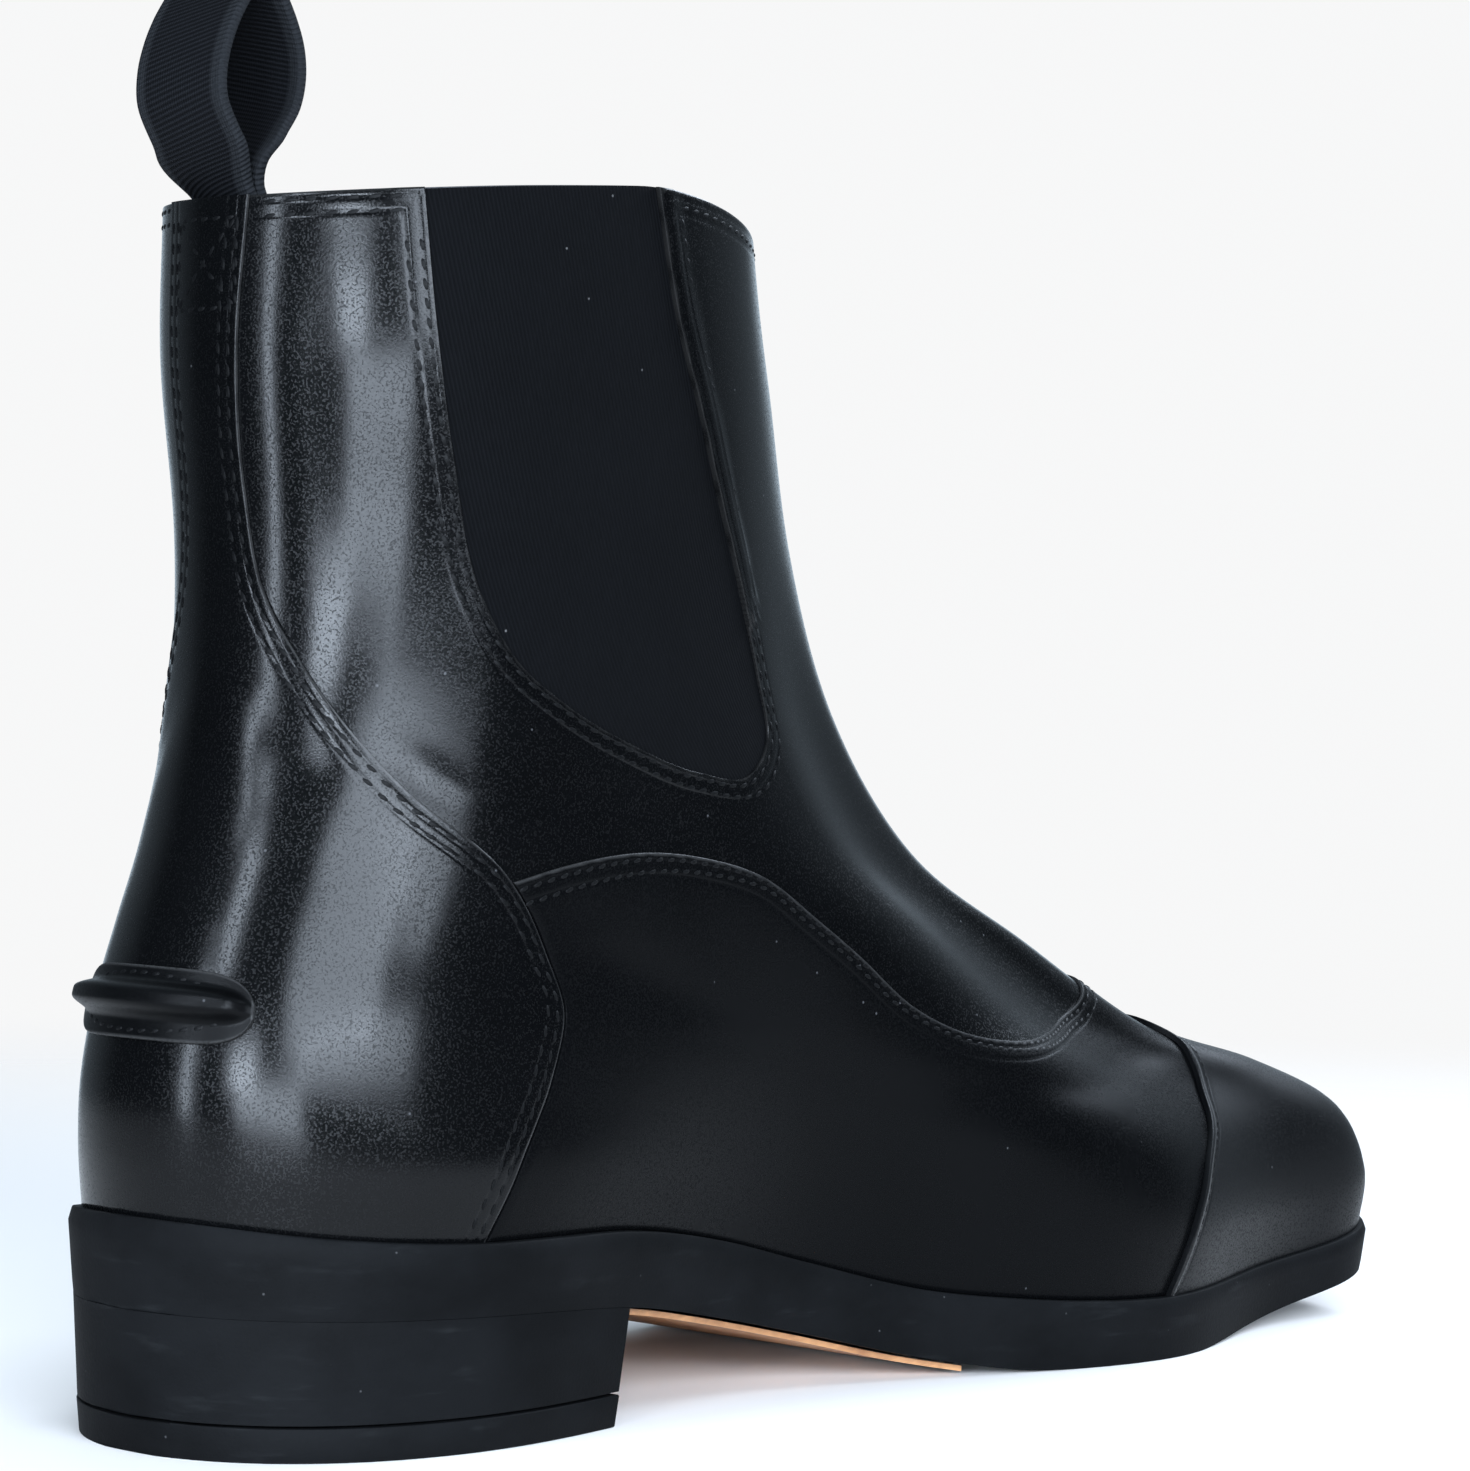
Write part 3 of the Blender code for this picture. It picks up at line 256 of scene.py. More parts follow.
def laid_flat(angle, row):
    return np.stack([angle * FLAT_ANGLE, row * FLAT_ROW], -1)


def crease_depth(angle, row):
    """How far the soft creases press the leather in at a place."""
    turn = (angle + math.pi) % (2.0 * math.pi) - math.pi
    place = laid_flat(turn, row)
    depth = np.zeros_like(turn)
    for side, start, end, width, deep in CREASES:
        near = laid_flat(math.radians(side * start[1]), start[0])
        run = laid_flat(math.radians(side * end[1]), end[0]) - near
        share = np.clip((place - near) @ run / (run @ run), 0.0, 1.0)
        off = np.linalg.norm(place - near - share[..., None] * run, axis=-1)
        fade = CREASE_ENDS + (1.0 - CREASE_ENDS) * np.sin(math.pi * share)
        depth = depth + deep * np.exp(-(off / width) ** 2) * fade
    return depth


def small_steps(angle, row):
    """Small steps round the last and up it at a place, and the rows that the second one spans."""
    low = np.maximum(row - SMALL_STEP, 0.0)
    high = np.minimum(row + SMALL_STEP, TOP_ROW)
    across = last_point(angle + SMALL_STEP, row) - last_point(angle - SMALL_STEP, row)
    return across, last_point(angle, high) - last_point(angle, low), high - low


def facing(angle, row):
    """Outward direction of the last, level near the sole."""
    across, upward, _ = small_steps(angle, row)
    flat = np.ones_like(row)
    return unit(unit(np.cross(upward, across)) * np.stack([flat, flat, ease(row / LEVEL_ROWS)], -1))


def skin(angle, row, lift=0.0):
    """A point lifted off the creased leather."""
    angle, row, lift = np.broadcast_arrays(*(np.asarray(value, float) for value in (angle, row, lift)))
    lift = lift - crease_depth(angle, row)
    return last_point(angle, row) + facing(angle, row) * lift[..., None]


def per_unit(angle, row):
    """Millimetres per radian round the foot and per row up it."""
    across, upward, rows = small_steps(angle, row)
    per_angle = np.linalg.norm(across, axis=-1) / (2.0 * SMALL_STEP)
    return per_angle, np.linalg.norm(upward, axis=-1) / rows


def seam(edge, shift=0.0):
    """Angles and rows along a stitched edge, shifted to the left of its run."""
    rows, degrees = np.array(edge).T
    angles = np.radians(degrees)
    travel = travelled(last_point(angles, rows))
    where = np.linspace(0.0, travel[-1], LINE_STEPS + 1)
    angle = cubic(where, travel, angles)
    row = np.clip(cubic(where, travel, rows), 0.0, TOP_ROW)
    per_angle, per_row = per_unit(angle, row)
    run = np.gradient(angle) * per_angle
    rise = np.gradient(row) * per_row
    length = np.hypot(run, rise)
    angle = angle - rise / length * shift / per_angle
    row = row + run / length * shift / per_row
    return angle, np.clip(row, 0.0, TOP_ROW)


def front_angle(row, aside):
    """Angle of a place that lies aside of the centre front by so many millimetres."""
    return math.pi - aside / front_reach(ring_sizes(row))


def zip_edge(shift=0.0):
    """Line up the quarter's front edge, butted below and parted for the zip above."""
    row = np.linspace(VAMP_EDGE[-1][0], TOP_ROW, LINE_STEPS + 1)
    parted = ease((row - ZIP_PART_ROW) / ZIP_PART_ROWS)
    aside = ZIP_BUTT_HALF + (ZIP_EDGE_HALF - ZIP_BUTT_HALF) * parted
    return front_angle(row, aside + shift), row


def collar_edge(start, end, below=0.0):
    """Line along the collar between two angles in degrees, so far below its top."""
    angle = np.radians(np.linspace(start, end, LINE_STEPS + 1))
    row = np.full_like(angle, TOP_ROW)
    return angle, row - below / per_unit(angle, row)[1]


def read(line, share):
    """Angle and row of a line at a share of its length."""
    return np.interp(share, SHARES, line[0]), np.interp(share, SHARES, line[1])


def part_of(line, start, end):
    """The stretch of a line between two shares of its length."""
    return read(line, np.linspace(start, end, LINE_STEPS + 1))


def junction_share(line):
    """Share of a counter line's length at the row where the vamp's top edge meets it."""
    return float(np.interp(JUNCTION_ROW, line[1], SHARES))


def between(near, far, share):
    return tuple(a + (b - a) * share for a, b in zip(near, far))


def other_side(line):
    return 2.0 * math.pi - line[0], line[1]


def mirrored(line):
    return -line[0], line[1]


def both_halves(half, share):
    """Place on a piece that lies over the centre front, by share from the outer side to the inner."""
    outer = half(np.minimum(2.0 * share, 1.0))
    inner = other_side(half(np.minimum(2.0 - 2.0 * share, 1.0)))
    return tuple(np.where(share <= 0.5, near, far) for near, far in zip(outer, inner))


class Wire:
    """A shader node's output; arithmetic on it adds Math nodes to the same material."""

    def __init__(self, tree, socket=None):
        self.tree = tree
        self.socket = socket

    def node(self, kind, sockets, output=0, **settings):
        """Output of a new node, its settings made first and its sockets filled or linked after."""
        made = self.tree.nodes.new("ShaderNode" + kind)
        for name, value in settings.items():
            setattr(made, name, value)
        for name, value in sockets.items():
            if isinstance(value, Wire):
                self.tree.links.new(value.socket, made.inputs[name])
            else:
                made.inputs[name].default_value = value
        return Wire(self.tree, made.outputs[output])

    def math(self, operation, *others):
        return self.node("Math", dict(enumerate((self, *others))), operation=operation)

    def __add__(self, other):
        return self.math("ADD", other)

    def __sub__(self, other):
        return self.math("SUBTRACT", other)

    def __mul__(self, other):
        return self.math("MULTIPLY", other)

    def __truediv__(self, other):
        return self.math("DIVIDE", other)

    def __rtruediv__(self, other):
        return self.node("Math", {0: other, 1: self}, operation="DIVIDE")

    __radd__ = __add__

    def step(self, low, high):
        """0 below low, 1 above high, smooth between; low may be the greater."""
        sockets = {"Value": self, "From Min": low, "From Max": high}
        return self.node("MapRange", sockets, interpolation_type="SMOOTHSTEP")

    def ripple(self, pitch):
        """Waves of that pitch along this value, 0 to 1."""
        return (self * (2.0 * math.pi / pitch)).math("SINE") * 0.5 + 0.5

    def part(self, axis):
        return self.node("SeparateXYZ", {"Vector": self}, axis)

    def tint(self, dark, light):
        """Colour between two, by this value."""
        return self.node("Mix", {0: self, 6: dark, 7: light}, 2, data_type="RGBA")


class Finish:
    """A material in the making, with its patterns in millimetres."""

    def __init__(self, name, roughness, shine=0.5, metal=0.0):
        self.material = bpy.data.materials.new(name)
        self.material.use_nodes = True
        self.tree = self.material.node_tree
        self.shader = self.tree.nodes["Principled BSDF"]
        self.shader.inputs["Roughness"].default_value = roughness
        self.shader.inputs["Specular IOR Level"].default_value = shine
        self.shader.inputs["Metallic"].default_value = metal
        start = Wire(self.tree)
        place = start.node("TexCoord", {}, "Object")
        self.place = start.node("VectorMath", {0: place, "Scale": 1.0 / MM}, operation="SCALE")

    def noise(self, size, detail=2.0, stretch=(1.0, 1.0, 1.0), rough=0.5):
        """Cloudy pattern, 0 to 1, of spots of that size."""
        place = self.place
        if stretch != (1.0, 1.0, 1.0):
            place = place.node("VectorMath", {0: place, 1: stretch}, operation="MULTIPLY")
        sockets = {"Vector": place, "Scale": 1.0 / size, "Detail": detail, "Roughness": rough}
        return place.node("TexNoise", sockets)

    def cells(self, size, output="Distance", feature="F1"):
        """Cell pattern with cells of that size."""
        sockets = {"Vector": self.place, "Scale": 1.0 / size}
        return self.place.node("TexVoronoi", sockets, output, feature=feature)

    def attribute(self, name):
        return Wire(self.tree).node("Attribute", {}, "Fac", attribute_name=name)

    def specks(self, size, share, spread):
        """1 on a few specks: cell size, share of cells with one, speck's size over the cell's."""
        lot = self.cells(size, "Color")
        return lot.math("GREATER_THAN", 1.0 - share) * self.cells(size).step(spread, spread * 0.4)

    def link(self, **sockets):
        """The material, with wires linked to its shader's sockets."""
        for socket, wire in sockets.items():
            self.tree.links.new(wire.socket, self.shader.inputs[socket.replace("_", " ")])
        return self.material

    def relief(self, height):
        """Surface relief from a height in millimetres."""
        self.link(Normal=height.node("Bump", {"Height": height, "Distance": MM, "Strength": 1.0}))


def grey(value, blue=1.15, red=0.92):
    """Grey of that strength, cool unless told otherwise."""
    return value * red, value, value * blue, 1.0


STITCH_GROOVE = 0.06
GROOVE_HALF = 0.40
# Leather grain: size and relief of its pebbles, fine folds and broad swells
PEBBLE, PEBBLE_RELIEF = 0.46, 0.003
FOLD, FOLD_RELIEF = 0.34, 0.004
SWELL, SWELL_RELIEF = 9.0, 0.02
VALLEY_ROUGH = 0.20  # how much rougher the leather is between its folds
CLOUD = 24.0  # spots that shade the leather


def leather(name, base=0.0015, gloss=0.17, rows=(), edge_wear_and_highlight=0.022, wear_and_highlight_at=(-0.5, 0.62), grain=1.0,
            shine=0.16):
    """Black semi-gloss leather: pebble grain, grooves under stitch rows, and a lighter band along the
    cut edge that is partly real wear and partly painted highlight.
    """
    finish = Finish(name, gloss, shine=shine)
    edge = finish.attribute("edge")
    pebble = finish.cells(PEBBLE, feature="DISTANCE_TO_EDGE").step(0.0, 0.2)
    fold = finish.noise(FOLD)
    swell = finish.noise(SWELL)
    cloud = finish.noise(CLOUD, 3.0)
    height = pebble * (PEBBLE_RELIEF * grain) + fold * (FOLD_RELIEF * grain) + swell * SWELL_RELIEF
    for row in rows:
        off = (edge - row) / GROOVE_HALF
        height = height - STITCH_GROOVE / (1.0 + off * off * off * off)
    finish.relief(height)
    # Band along the cut edge painted lighter: partly real wear, partly a painted highlight where the
    # edge catches light
    worn_and_highlit_edge = edge.step(wear_and_highlight_at[0], wear_and_highlight_at[0] + 0.3) * edge.step(wear_and_highlight_at[1], wear_and_highlight_at[1] - 0.5)
    worn_and_highlit_edge = worn_and_highlit_edge * fold.step(0.2, 0.5)
    dust = finish.specks(4.6, 0.36, 0.06) * 0.35
    tone = cloud.tint(grey(base * 0.75), grey(base * 1.35))
    tone = worn_and_highlit_edge.tint(tone, grey(edge_wear_and_highlight, 1.0, 1.0))
    tone = dust.tint(tone, grey(0.12, 1.05, 0.98))
    valley = fold.step(0.52, 0.36) * VALLEY_ROUGH * grain
    rough = cloud * 0.04 + valley + (gloss - 0.05) + dust * 0.3
    return finish.link(Base_Color=tone, Roughness=rough)


def thread(name, base):
    """Waxed black thread."""
    finish = Finish(name, 0.45, shine=0.09)
    twist = finish.noise(0.25)
    finish.relief(twist * 0.05)
    return finish.link(Base_Color=twist.tint(grey(base * 0.6), grey(base * 1.5)))


def elastic(name):
    """Ribbed elastic: fine upright ribs with a slight slub, and lint."""
    finish = Finish(name, 0.85, shine=0.03)
    rib = finish.attribute("rib")
    wave = rib.ripple(0.56)
    slub = finish.noise(0.5, 2.0, (1.0, 1.0, 0.2))
    cloud = finish.noise(14.0, 3.0)
    finish.relief(wave * 0.07 + slub * 0.06)
    shade = wave * 0.4 + slub * 0.35 + cloud * 0.25
    lint = finish.specks(5.2, 0.36, 0.05) * 0.4
    tone = shade.tint(grey(0.0011, 1.2), grey(0.0040, 1.2))
    return finish.link(Base_Color=lint.tint(tone, grey(0.16, 1.0, 1.0)))


def webbing(name):
    """Twill tape: fine ribs slanting across the strap, and paler selvedges."""
    finish = Finish(name, 0.75, shine=0.04)
    along = finish.attribute("along")
    across = finish.attribute("across")
    slant = along + across * 0.22
    wave = slant.ripple(0.74)
    pick = across.ripple(0.5)
    fuzz = finish.noise(0.4)
    selvedge = across.math("ABSOLUTE").step(6.6, 7.8)
    finish.relief(wave * 0.16 + pick * 0.06 + fuzz * 0.08)
    shade = wave * 0.65 + pick * 0.1 + fuzz * 0.25
    tone = shade.tint(grey(0.0010, 1.25), grey(0.0095, 1.2))
    tone = (selvedge * (0.25 + fuzz * 0.75)).tint(tone, grey(0.017, 1.12))
    return finish.link(Base_Color=tone)


def rubber(name, base):
    """Moulded black rubber with a dusty bloom, scuffs along it and specks."""
    finish = Finish(name, 0.62, shine=0.035)
    pores = finish.noise(0.5)
    streak = finish.noise(2.2, 3.0, (0.14, 0.14, 1.0), 0.6)
    bloom = finish.noise(16.0, 4.0, (0.6, 0.6, 1.0), 0.6)
    dust = finish.specks(3.6, 0.40, 0.07) * 0.7
    scuff = streak.step(0.56, 0.78) * bloom.step(0.42, 0.66)
    finish.relief(pores * 0.05 + streak * 0.04)
    tone = bloom.step(0.25, 0.75).tint(grey(base * 0.7, 1.12), grey(base * 1.5, 1.12))
    tone = (scuff * 0.35).tint(tone, grey(0.022, 1.05))
    tone = dust.tint(tone, grey(0.05, 1.02, 0.98))
    return finish.link(Base_Color=tone, Roughness=pores * 0.15 + bloom * 0.15 + 0.45)


TAN_DARK = (0.20, 0.075, 0.028, 1.0)
TAN_LIGHT = (0.62, 0.32, 0.14, 1.0)


def tan_leather(name):
    """Satin tan sole leather, cloudy and finely fibred."""
    finish = Finish(name, 0.45)
    cloud = finish.noise(12.0, 3.0)
    fibre = finish.noise(0.8, 3.0, (0.3, 1.0, 1.0))
    finish.relief(fibre * 0.06)
    shade = cloud * 0.7 + fibre * 0.3
    tone = shade.step(0.2, 0.8).tint(TAN_DARK, TAN_LIGHT)
    return finish.link(Base_Color=tone, Roughness=fibre * 0.15 + 0.38)


def lining(name):
    """Matte black lining leather with fine pores."""
    finish = Finish(name, 0.7)
    pores = finish.cells(0.7)
    cloud = finish.noise(18.0, 3.0)
    finish.relief(pores * 0.06)
    return finish.link(Base_Color=cloud.tint(grey(0.010), grey(0.024)), Roughness=pores * 0.2 + 0.58)


def tape_weave(name):
    """Black zip tape in a herringbone of fine threads."""
    finish = Finish(name, 0.85, shine=0.25)
    wave = (finish.place.part("Z") + finish.place.part("Y").math("ABSOLUTE") * 0.8).ripple(0.7)
    fuzz = finish.noise(0.4)
    finish.relief(wave * 0.12 + fuzz * 0.06)
    return finish.link(Base_Color=(wave * 0.6 + fuzz * 0.4).tint(grey(0.004, 1.3), grey(0.018, 1.3)))


def nickel(name, base):
    """Dark nickel plate, rubbed in spots."""
    finish = Finish(name, 0.3, metal=1.0)
    rub = finish.noise(0.6, 3.0)
    cloud = finish.noise(4.0)
    finish.relief(rub * 0.02)
    tone = cloud.tint(grey(base * 0.65, 1.04, 0.98), grey(base * 1.3, 1.04, 0.98))
    return finish.link(Base_Color=tone, Roughness=rub * 0.25 + 0.18)


FLOOR_FADE = (160.0, 800.0)  # distances from the boot over which the floor runs out
FLOOR_DARK = (0.85, 0.815, 0.785, 1.0)
FLOOR_LIGHT = (0.88, 0.845, 0.815, 1.0)


def pale_floor(name):
    """Pale floor that runs out softly into the backdrop."""
    finish = Finish(name, 0.7, shine=0.1)
    cloud = finish.noise(900.0)
    spread = finish.place.node("VectorMath", {0: finish.place}, "Value", operation="LENGTH")
    alpha = spread.step(FLOOR_FADE[1], FLOOR_FADE[0])
    return finish.link(Base_Color=cloud.tint(FLOOR_DARK, FLOOR_LIGHT), Alpha=alpha)


def slab(cut, thick, rounding=RIM_ROUND, both_rims=False, bands=1):
    """Flat piece with rounded rims, and the shares along, across and through it at its vertices.

    A cut gives the mesh's columns and rows, and the piece's length and width.
    """
    columns, rows, length, width = cut
    mesh = bmesh.new()
    bmesh.ops.create_grid(mesh, x_segments=columns, y_segments=rows, size=0.5)
    bmesh.ops.scale(mesh, verts=mesh.verts[:], vec=(length, width, 1.0))
    grown = bmesh.ops.extrude_face_region(mesh, geom=mesh.faces[:], use_keep_orig=True)
    top = [item for item in grown["geom"] if isinstance(item, bmesh.types.BMVert)]
    bmesh.ops.translate(mesh, verts=top, vec=(0.0, 0.0, thick))
    bmesh.ops.recalc_face_normals(mesh, faces=mesh.faces[:])
    mesh.normal_update()
    rim = []
    for edge in mesh.edges:
        level = abs(edge.verts[0].co.z - edge.verts[1].co.z) < MERGE
        side = any(abs(face.normal.z) < 0.5 for face in edge.link_faces)
        if level and side and (both_rims or edge.verts[0].co.z > thick / 2.0):
            rim.append(edge)
    bmesh.ops.bevel(mesh, geom=rim, offset=rounding, segments=2, profile=0.5, affect="EDGES",
                    material=-1)
    for band in range(1, bands):
        bmesh.ops.bisect_plane(mesh, geom=mesh.verts[:] + mesh.edges[:] + mesh.faces[:],
                               plane_co=(0.0, 0.0, thick * band / bands), plane_no=(0.0, 0.0, 1.0))
    flat = np.array([vert.co[:] for vert in mesh.verts])
    return mesh, flat[:, 0] / length + 0.5, flat[:, 1] / width + 0.5, flat[:, 2] / thick


def move(mesh, points):
    for vert, point in zip(mesh.verts, points):
        vert.co = point


def note(mesh, name, values):
    """Per-vertex values that a finish reads."""
    layer = mesh.verts.layers.float.new(name)
    for vert, value in zip(mesh.verts, values):
        vert[layer] = float(value)


CHUNK = 4000  # points measured at once
RAISE_FADE = 0.9


def distance_to(points, lines, lift):
    """Least distance from each point to any of the lines on the last."""
    least = np.full(len(points), np.inf)
    for line in lines:
        along = skin(*line, lift)
        for start in range(0, len(points), CHUNK):
            part = slice(start, start + CHUNK)
            gap = np.linalg.norm(points[part, None, :] - along[None, :, :], axis=-1)
            least[part] = np.minimum(least[part], gap.min(axis=1))
    return least


def panel(cut, place, face, edges, skived, raised=None):
    """A leather panel on the last: its place by shares, its face and its stitched edges.

    Skived: lines where its underside rises, and to what. Raised: a band's lines, width and height.
    """
    mesh, u, v, through = slab(cut, face - PANEL_BACK)
    angle, row = place(u, v)
    points = skin(angle, row, face)
    lines, height = skived
    near = distance_to(points, lines, face)
    under = PANEL_BACK + (height - PANEL_BACK) * ease((SKIVE[1] - near) / (SKIVE[1] - SKIVE[0]))
    over = face
    if raised is not None:
        lines, width, height = raised
        near = distance_to(points, lines, face)
        over = face + height * ease((width + RAISE_FADE - near) / RAISE_FADE)
    move(mesh, skin(angle, row, under + (over - under) * through))
    note(mesh, "edge", distance_to(points, edges, face))
    return mesh


def add(name, data):
    """New object in the scene."""
    made = bpy.data.objects.new(name, data)
    bpy.context.scene.collection.objects.link(made)
    return made


def add_mesh(name, mesh, finish):
    data = bpy.data.meshes.new(name)
    mesh.to_mesh(data)
    mesh.free()
    data.materials.append(finish)
    return add(name, data)


def finish_piece(name, mesh, finish, slot, *nodes, body="boot"):
    """The piece in the boot's frame, riding on its body in place of the nodes it stands for."""
    bmesh.ops.remove_doubles(mesh, verts=mesh.verts[:], dist=MERGE)
    bmesh.ops.dissolve_degenerate(mesh, edges=mesh.edges[:], dist=MERGE)
    bmesh.ops.recalc_face_normals(mesh, faces=mesh.faces[:])
    bmesh.ops.translate(mesh, verts=mesh.verts[:], vec=-ORIGIN)
    bmesh.ops.scale(mesh, verts=mesh.verts[:], vec=(MM, MM, MM))
    piece = add_mesh(name, mesh, finish)
    piece.data.shade_smooth()
    piece.data.set_sharp_from_angle(angle=math.radians(SMOOTH_DEGREES))
    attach(piece, body)
    if nodes:
        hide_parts(*nodes)


def set_at(place, *axes):
    """Matrix that puts a shape at a place, its axes laid along three vectors."""
    return Matrix.Translation(place) @ Matrix(axes).transposed().to_4x4()


STITCH_SPACING = (3.0, 1.9)  # pitch and length
STITCH_WIDTH = 0.72
STITCH_HEIGHT = 0.44
STITCH_SINK = 0.04
STITCH_SLANT = 10.0
STITCH_ROUND = (6, 4)


def stitches(mesh, line, face, spacing=STITCH_SPACING):
    """Row of stitches along a line on the last, slanted as a lockstitch pulls them."""
    pitch, length = spacing
    points = skin(*line, face - STITCH_SINK)
    outward = facing(*line)
    travel = travelled(points)
    count = max(int(travel[-1] / pitch), 1)
    for number in range(count):
        where = (number + 0.5) * travel[-1] / count
        ends = [where - length / 2.0, where, where + length / 2.0]
        rear, middle, front = (Vector(point) for point in along_path(ends, travel, points))
        out = Vector(along_path(where, travel, outward)).normalized()
        run = (front - rear).normalized()
        run = (Matrix.Rotation(math.radians(STITCH_SLANT), 3, out) @ run).normalized()
        side = out.cross(run).normalized()
        turn = set_at(middle, side * STITCH_WIDTH, out * STITCH_HEIGHT, run * length)
        bmesh.ops.create_uvsphere(mesh, u_segments=STITCH_ROUND[0], v_segments=STITCH_ROUND[1],
                                  radius=0.5, matrix=turn)


FLAT_DEGREES = 2.0  # triangles closer in facing are merged
SHARP_DEGREES = 25.0


def rounded_copy(name, rounding):
    """A CAD node's shape, its triangles merged and its sharp edges rounded off."""
    mesh = bmesh.new()
    mesh.from_mesh(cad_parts[name].data)
    bmesh.ops.scale(mesh, verts=mesh.verts[:], vec=(1.0 / MM, 1.0 / MM, 1.0 / MM))
    bmesh.ops.translate(mesh, verts=mesh.verts[:], vec=ORIGIN)
    bmesh.ops.remove_doubles(mesh, verts=mesh.verts[:], dist=MERGE)
    bmesh.ops.dissolve_limit(mesh, angle_limit=math.radians(FLAT_DEGREES), verts=mesh.verts[:],
                             edges=mesh.edges[:])
    sharp = [edge for edge in mesh.edges
             if edge.is_manifold and edge.calc_face_angle() > math.radians(SHARP_DEGREES)]
    bmesh.ops.bevel(mesh, geom=sharp, offset=rounding, segments=2, profile=0.5, affect="EDGES",
                    material=-1, clamp_overlap=True)
    return mesh


# Lines of the panels, and how far their stitch rows lie from the edges
COUNTER_ROWS = (1.6, 3.5)
QUARTER_ROWS = (1.1, 3.2)
VAMP_ROWS = (1.2, 3.3)
CAP_ROW = 1.8
CAP_GROOVE = 2.6
COUNTER_EDGES = {1: COUNTER_EDGE_OUT, -1: COUNTER_EDGE_IN}
gore_line = seam(GORE_EDGE)
vamp_line = seam(VAMP_EDGE)
cap_line = seam(CAP_EDGE)
front_line = zip_edge()
gore_low = float(np.argmin(gore_line[1])) / LINE_STEPS

black = leather("black_leather", rows=COUNTER_ROWS)
quarter_black = leather("quarter_leather", rows=QUARTER_ROWS, edge_wear_and_highlight=0.008)
vamp_black = leather("vamp_leather", gloss=0.3, rows=VAMP_ROWS, shine=0.05)
# The cap's lighter line along the top of its rolled edge is a painted highlight; the edge itself is
# left dark
cap_black = leather("cap_leather", base=0.0022, gloss=0.40, rows=(CAP_GROOVE,), edge_wear_and_highlight=0.05,
                    wear_and_highlight_at=(0.7, 1.6), grain=1.2, shine=0.10)
black_thread = thread("black_thread", 0.0020)
gore_elastic = elastic("ribbed_elastic")
strap = webbing("loop_webbing")
sole_black = rubber("sole_rubber", 0.0036)
tan = tan_leather("tan_leather")
inside = lining("lining_leather")
tape = tape_weave("zip_tape")
dark_nickel = nickel("dark_nickel", 0.20)


# Counter and backstay
def counter_place(u, v):
    row = read(seam(COUNTER_EDGE_IN), v)[1]
    row = np.where(v < MERGE, 0.0, np.where(v > 1.0 - MERGE, TOP_ROW, row))
    inner = read(seam(COUNTER_EDGE_IN, SEAM_GAP / 2.0), v)[0]
    outer = read(seam(COUNTER_EDGE_OUT, SEAM_GAP / 2.0), v)[0]
    return -inner + (inner + outer) * u, row


COUNTER_CUT = (80, 130, 90.0, 170.0)
counter_edges = [seam(COUNTER_EDGE_OUT), mirrored(seam(COUNTER_EDGE_IN))]
counter = panel(COUNTER_CUT, counter_place, COUNTER_FACE, counter_edges, (counter_edges, LAP_GAP))
finish_piece("counter_leather", counter, black, "black_leather", "counter")


# Toe cap
def cap_place(u, v):
    start = cap_line[0][0]
    feather = (start + 2.0 * (math.pi - start) * u, np.zeros_like(u))
    return between(feather, both_halves(lambda share: read(cap_line, share), u), v)


CAP_CUT = (110, 60, 130.0, 80.0)
CAP_ROLL = (1.1, 0.45)  # width and height of the folded edge
cap_edges = [cap_line, other_side(cap_line)]
cap = panel(CAP_CUT, cap_place, CAP_FACE, cap_edges, (cap_edges, VAMP_FACE + LAP_GAP),
            (cap_edges, *CAP_ROLL))
finish_piece("toe_cap_leather", cap, cap_black, "black_leather", "toe_cap")

# Vamp
VAMP_KNOT = 0.5  # share of each half, from the counter, at which the cap starts
VAMP_LOW_BREAK = 0.60  # share of the top edge over that place
counter_side = seam(COUNTER_EDGE_OUT, -SEAM_GAP / 2.0)
counter_junction = junction_share(seam(COUNTER_EDGE_OUT))
cap_under = seam(CAP_EDGE, -LAP)


def vamp_half(share, v):
    """Place on the outer half of the vamp: share from the counter to the centre front."""
    foot = counter_side[0][0]
    run = np.clip(share / VAMP_KNOT, 0.0, 1.0)
    ahead = read(cap_under, np.clip((share - VAMP_KNOT) / (1.0 - VAMP_KNOT), 0.0, 1.0))
    low = (np.where(share < VAMP_KNOT, foot + (cap_under[0][0] - foot) * run, ahead[0]),
           np.where(share < VAMP_KNOT, 0.0, ahead[1]))
    top = read(vamp_line, np.interp(share, (0.0, VAMP_KNOT, 1.0), (0.0, VAMP_LOW_BREAK, 1.0)))
    side = read(counter_side, v * counter_junction)
    straight = between(low, top, v)
    start = between((foot, 0.0), (vamp_line[0][0], vamp_line[1][0]), v)
    return tuple(even + (bent - base) * (1.0 - run) for even, bent, base in zip(straight, side, start))


def vamp_place(u, v):
    return both_halves(lambda share: vamp_half(share, v), u)


VAMP_CUT = (240, 50, 380.0, 65.0)
vamp_edges = [vamp_line, other_side(vamp_line)]
vamp = panel(VAMP_CUT, vamp_place, VAMP_FACE, vamp_edges, (vamp_edges, LAP_GAP))
finish_piece("vamp_leather", vamp, vamp_black, "black_leather", "vamp")

# Quarters
# Shares along the quarter, and the gore beside it: rear top, junction, throat, zip's foot, front top
QUARTER_KNOTS = (0.0, 0.30, 0.55, 0.70, 1.0)
GORE_BREAKS = (0.0, 0.40, 0.62, 0.72, 1.0)
VAMP_BREAK = 0.62  # share of the vamp's edge at the throat
FRONT_TRIM = 6  # steps left out where the vamp's edge reaches the zip
BAND_START = 0.70  # share of the gore's line where the raised band starts
BAND_WIDTH = 3.8
BAND_HEIGHT = 0.45


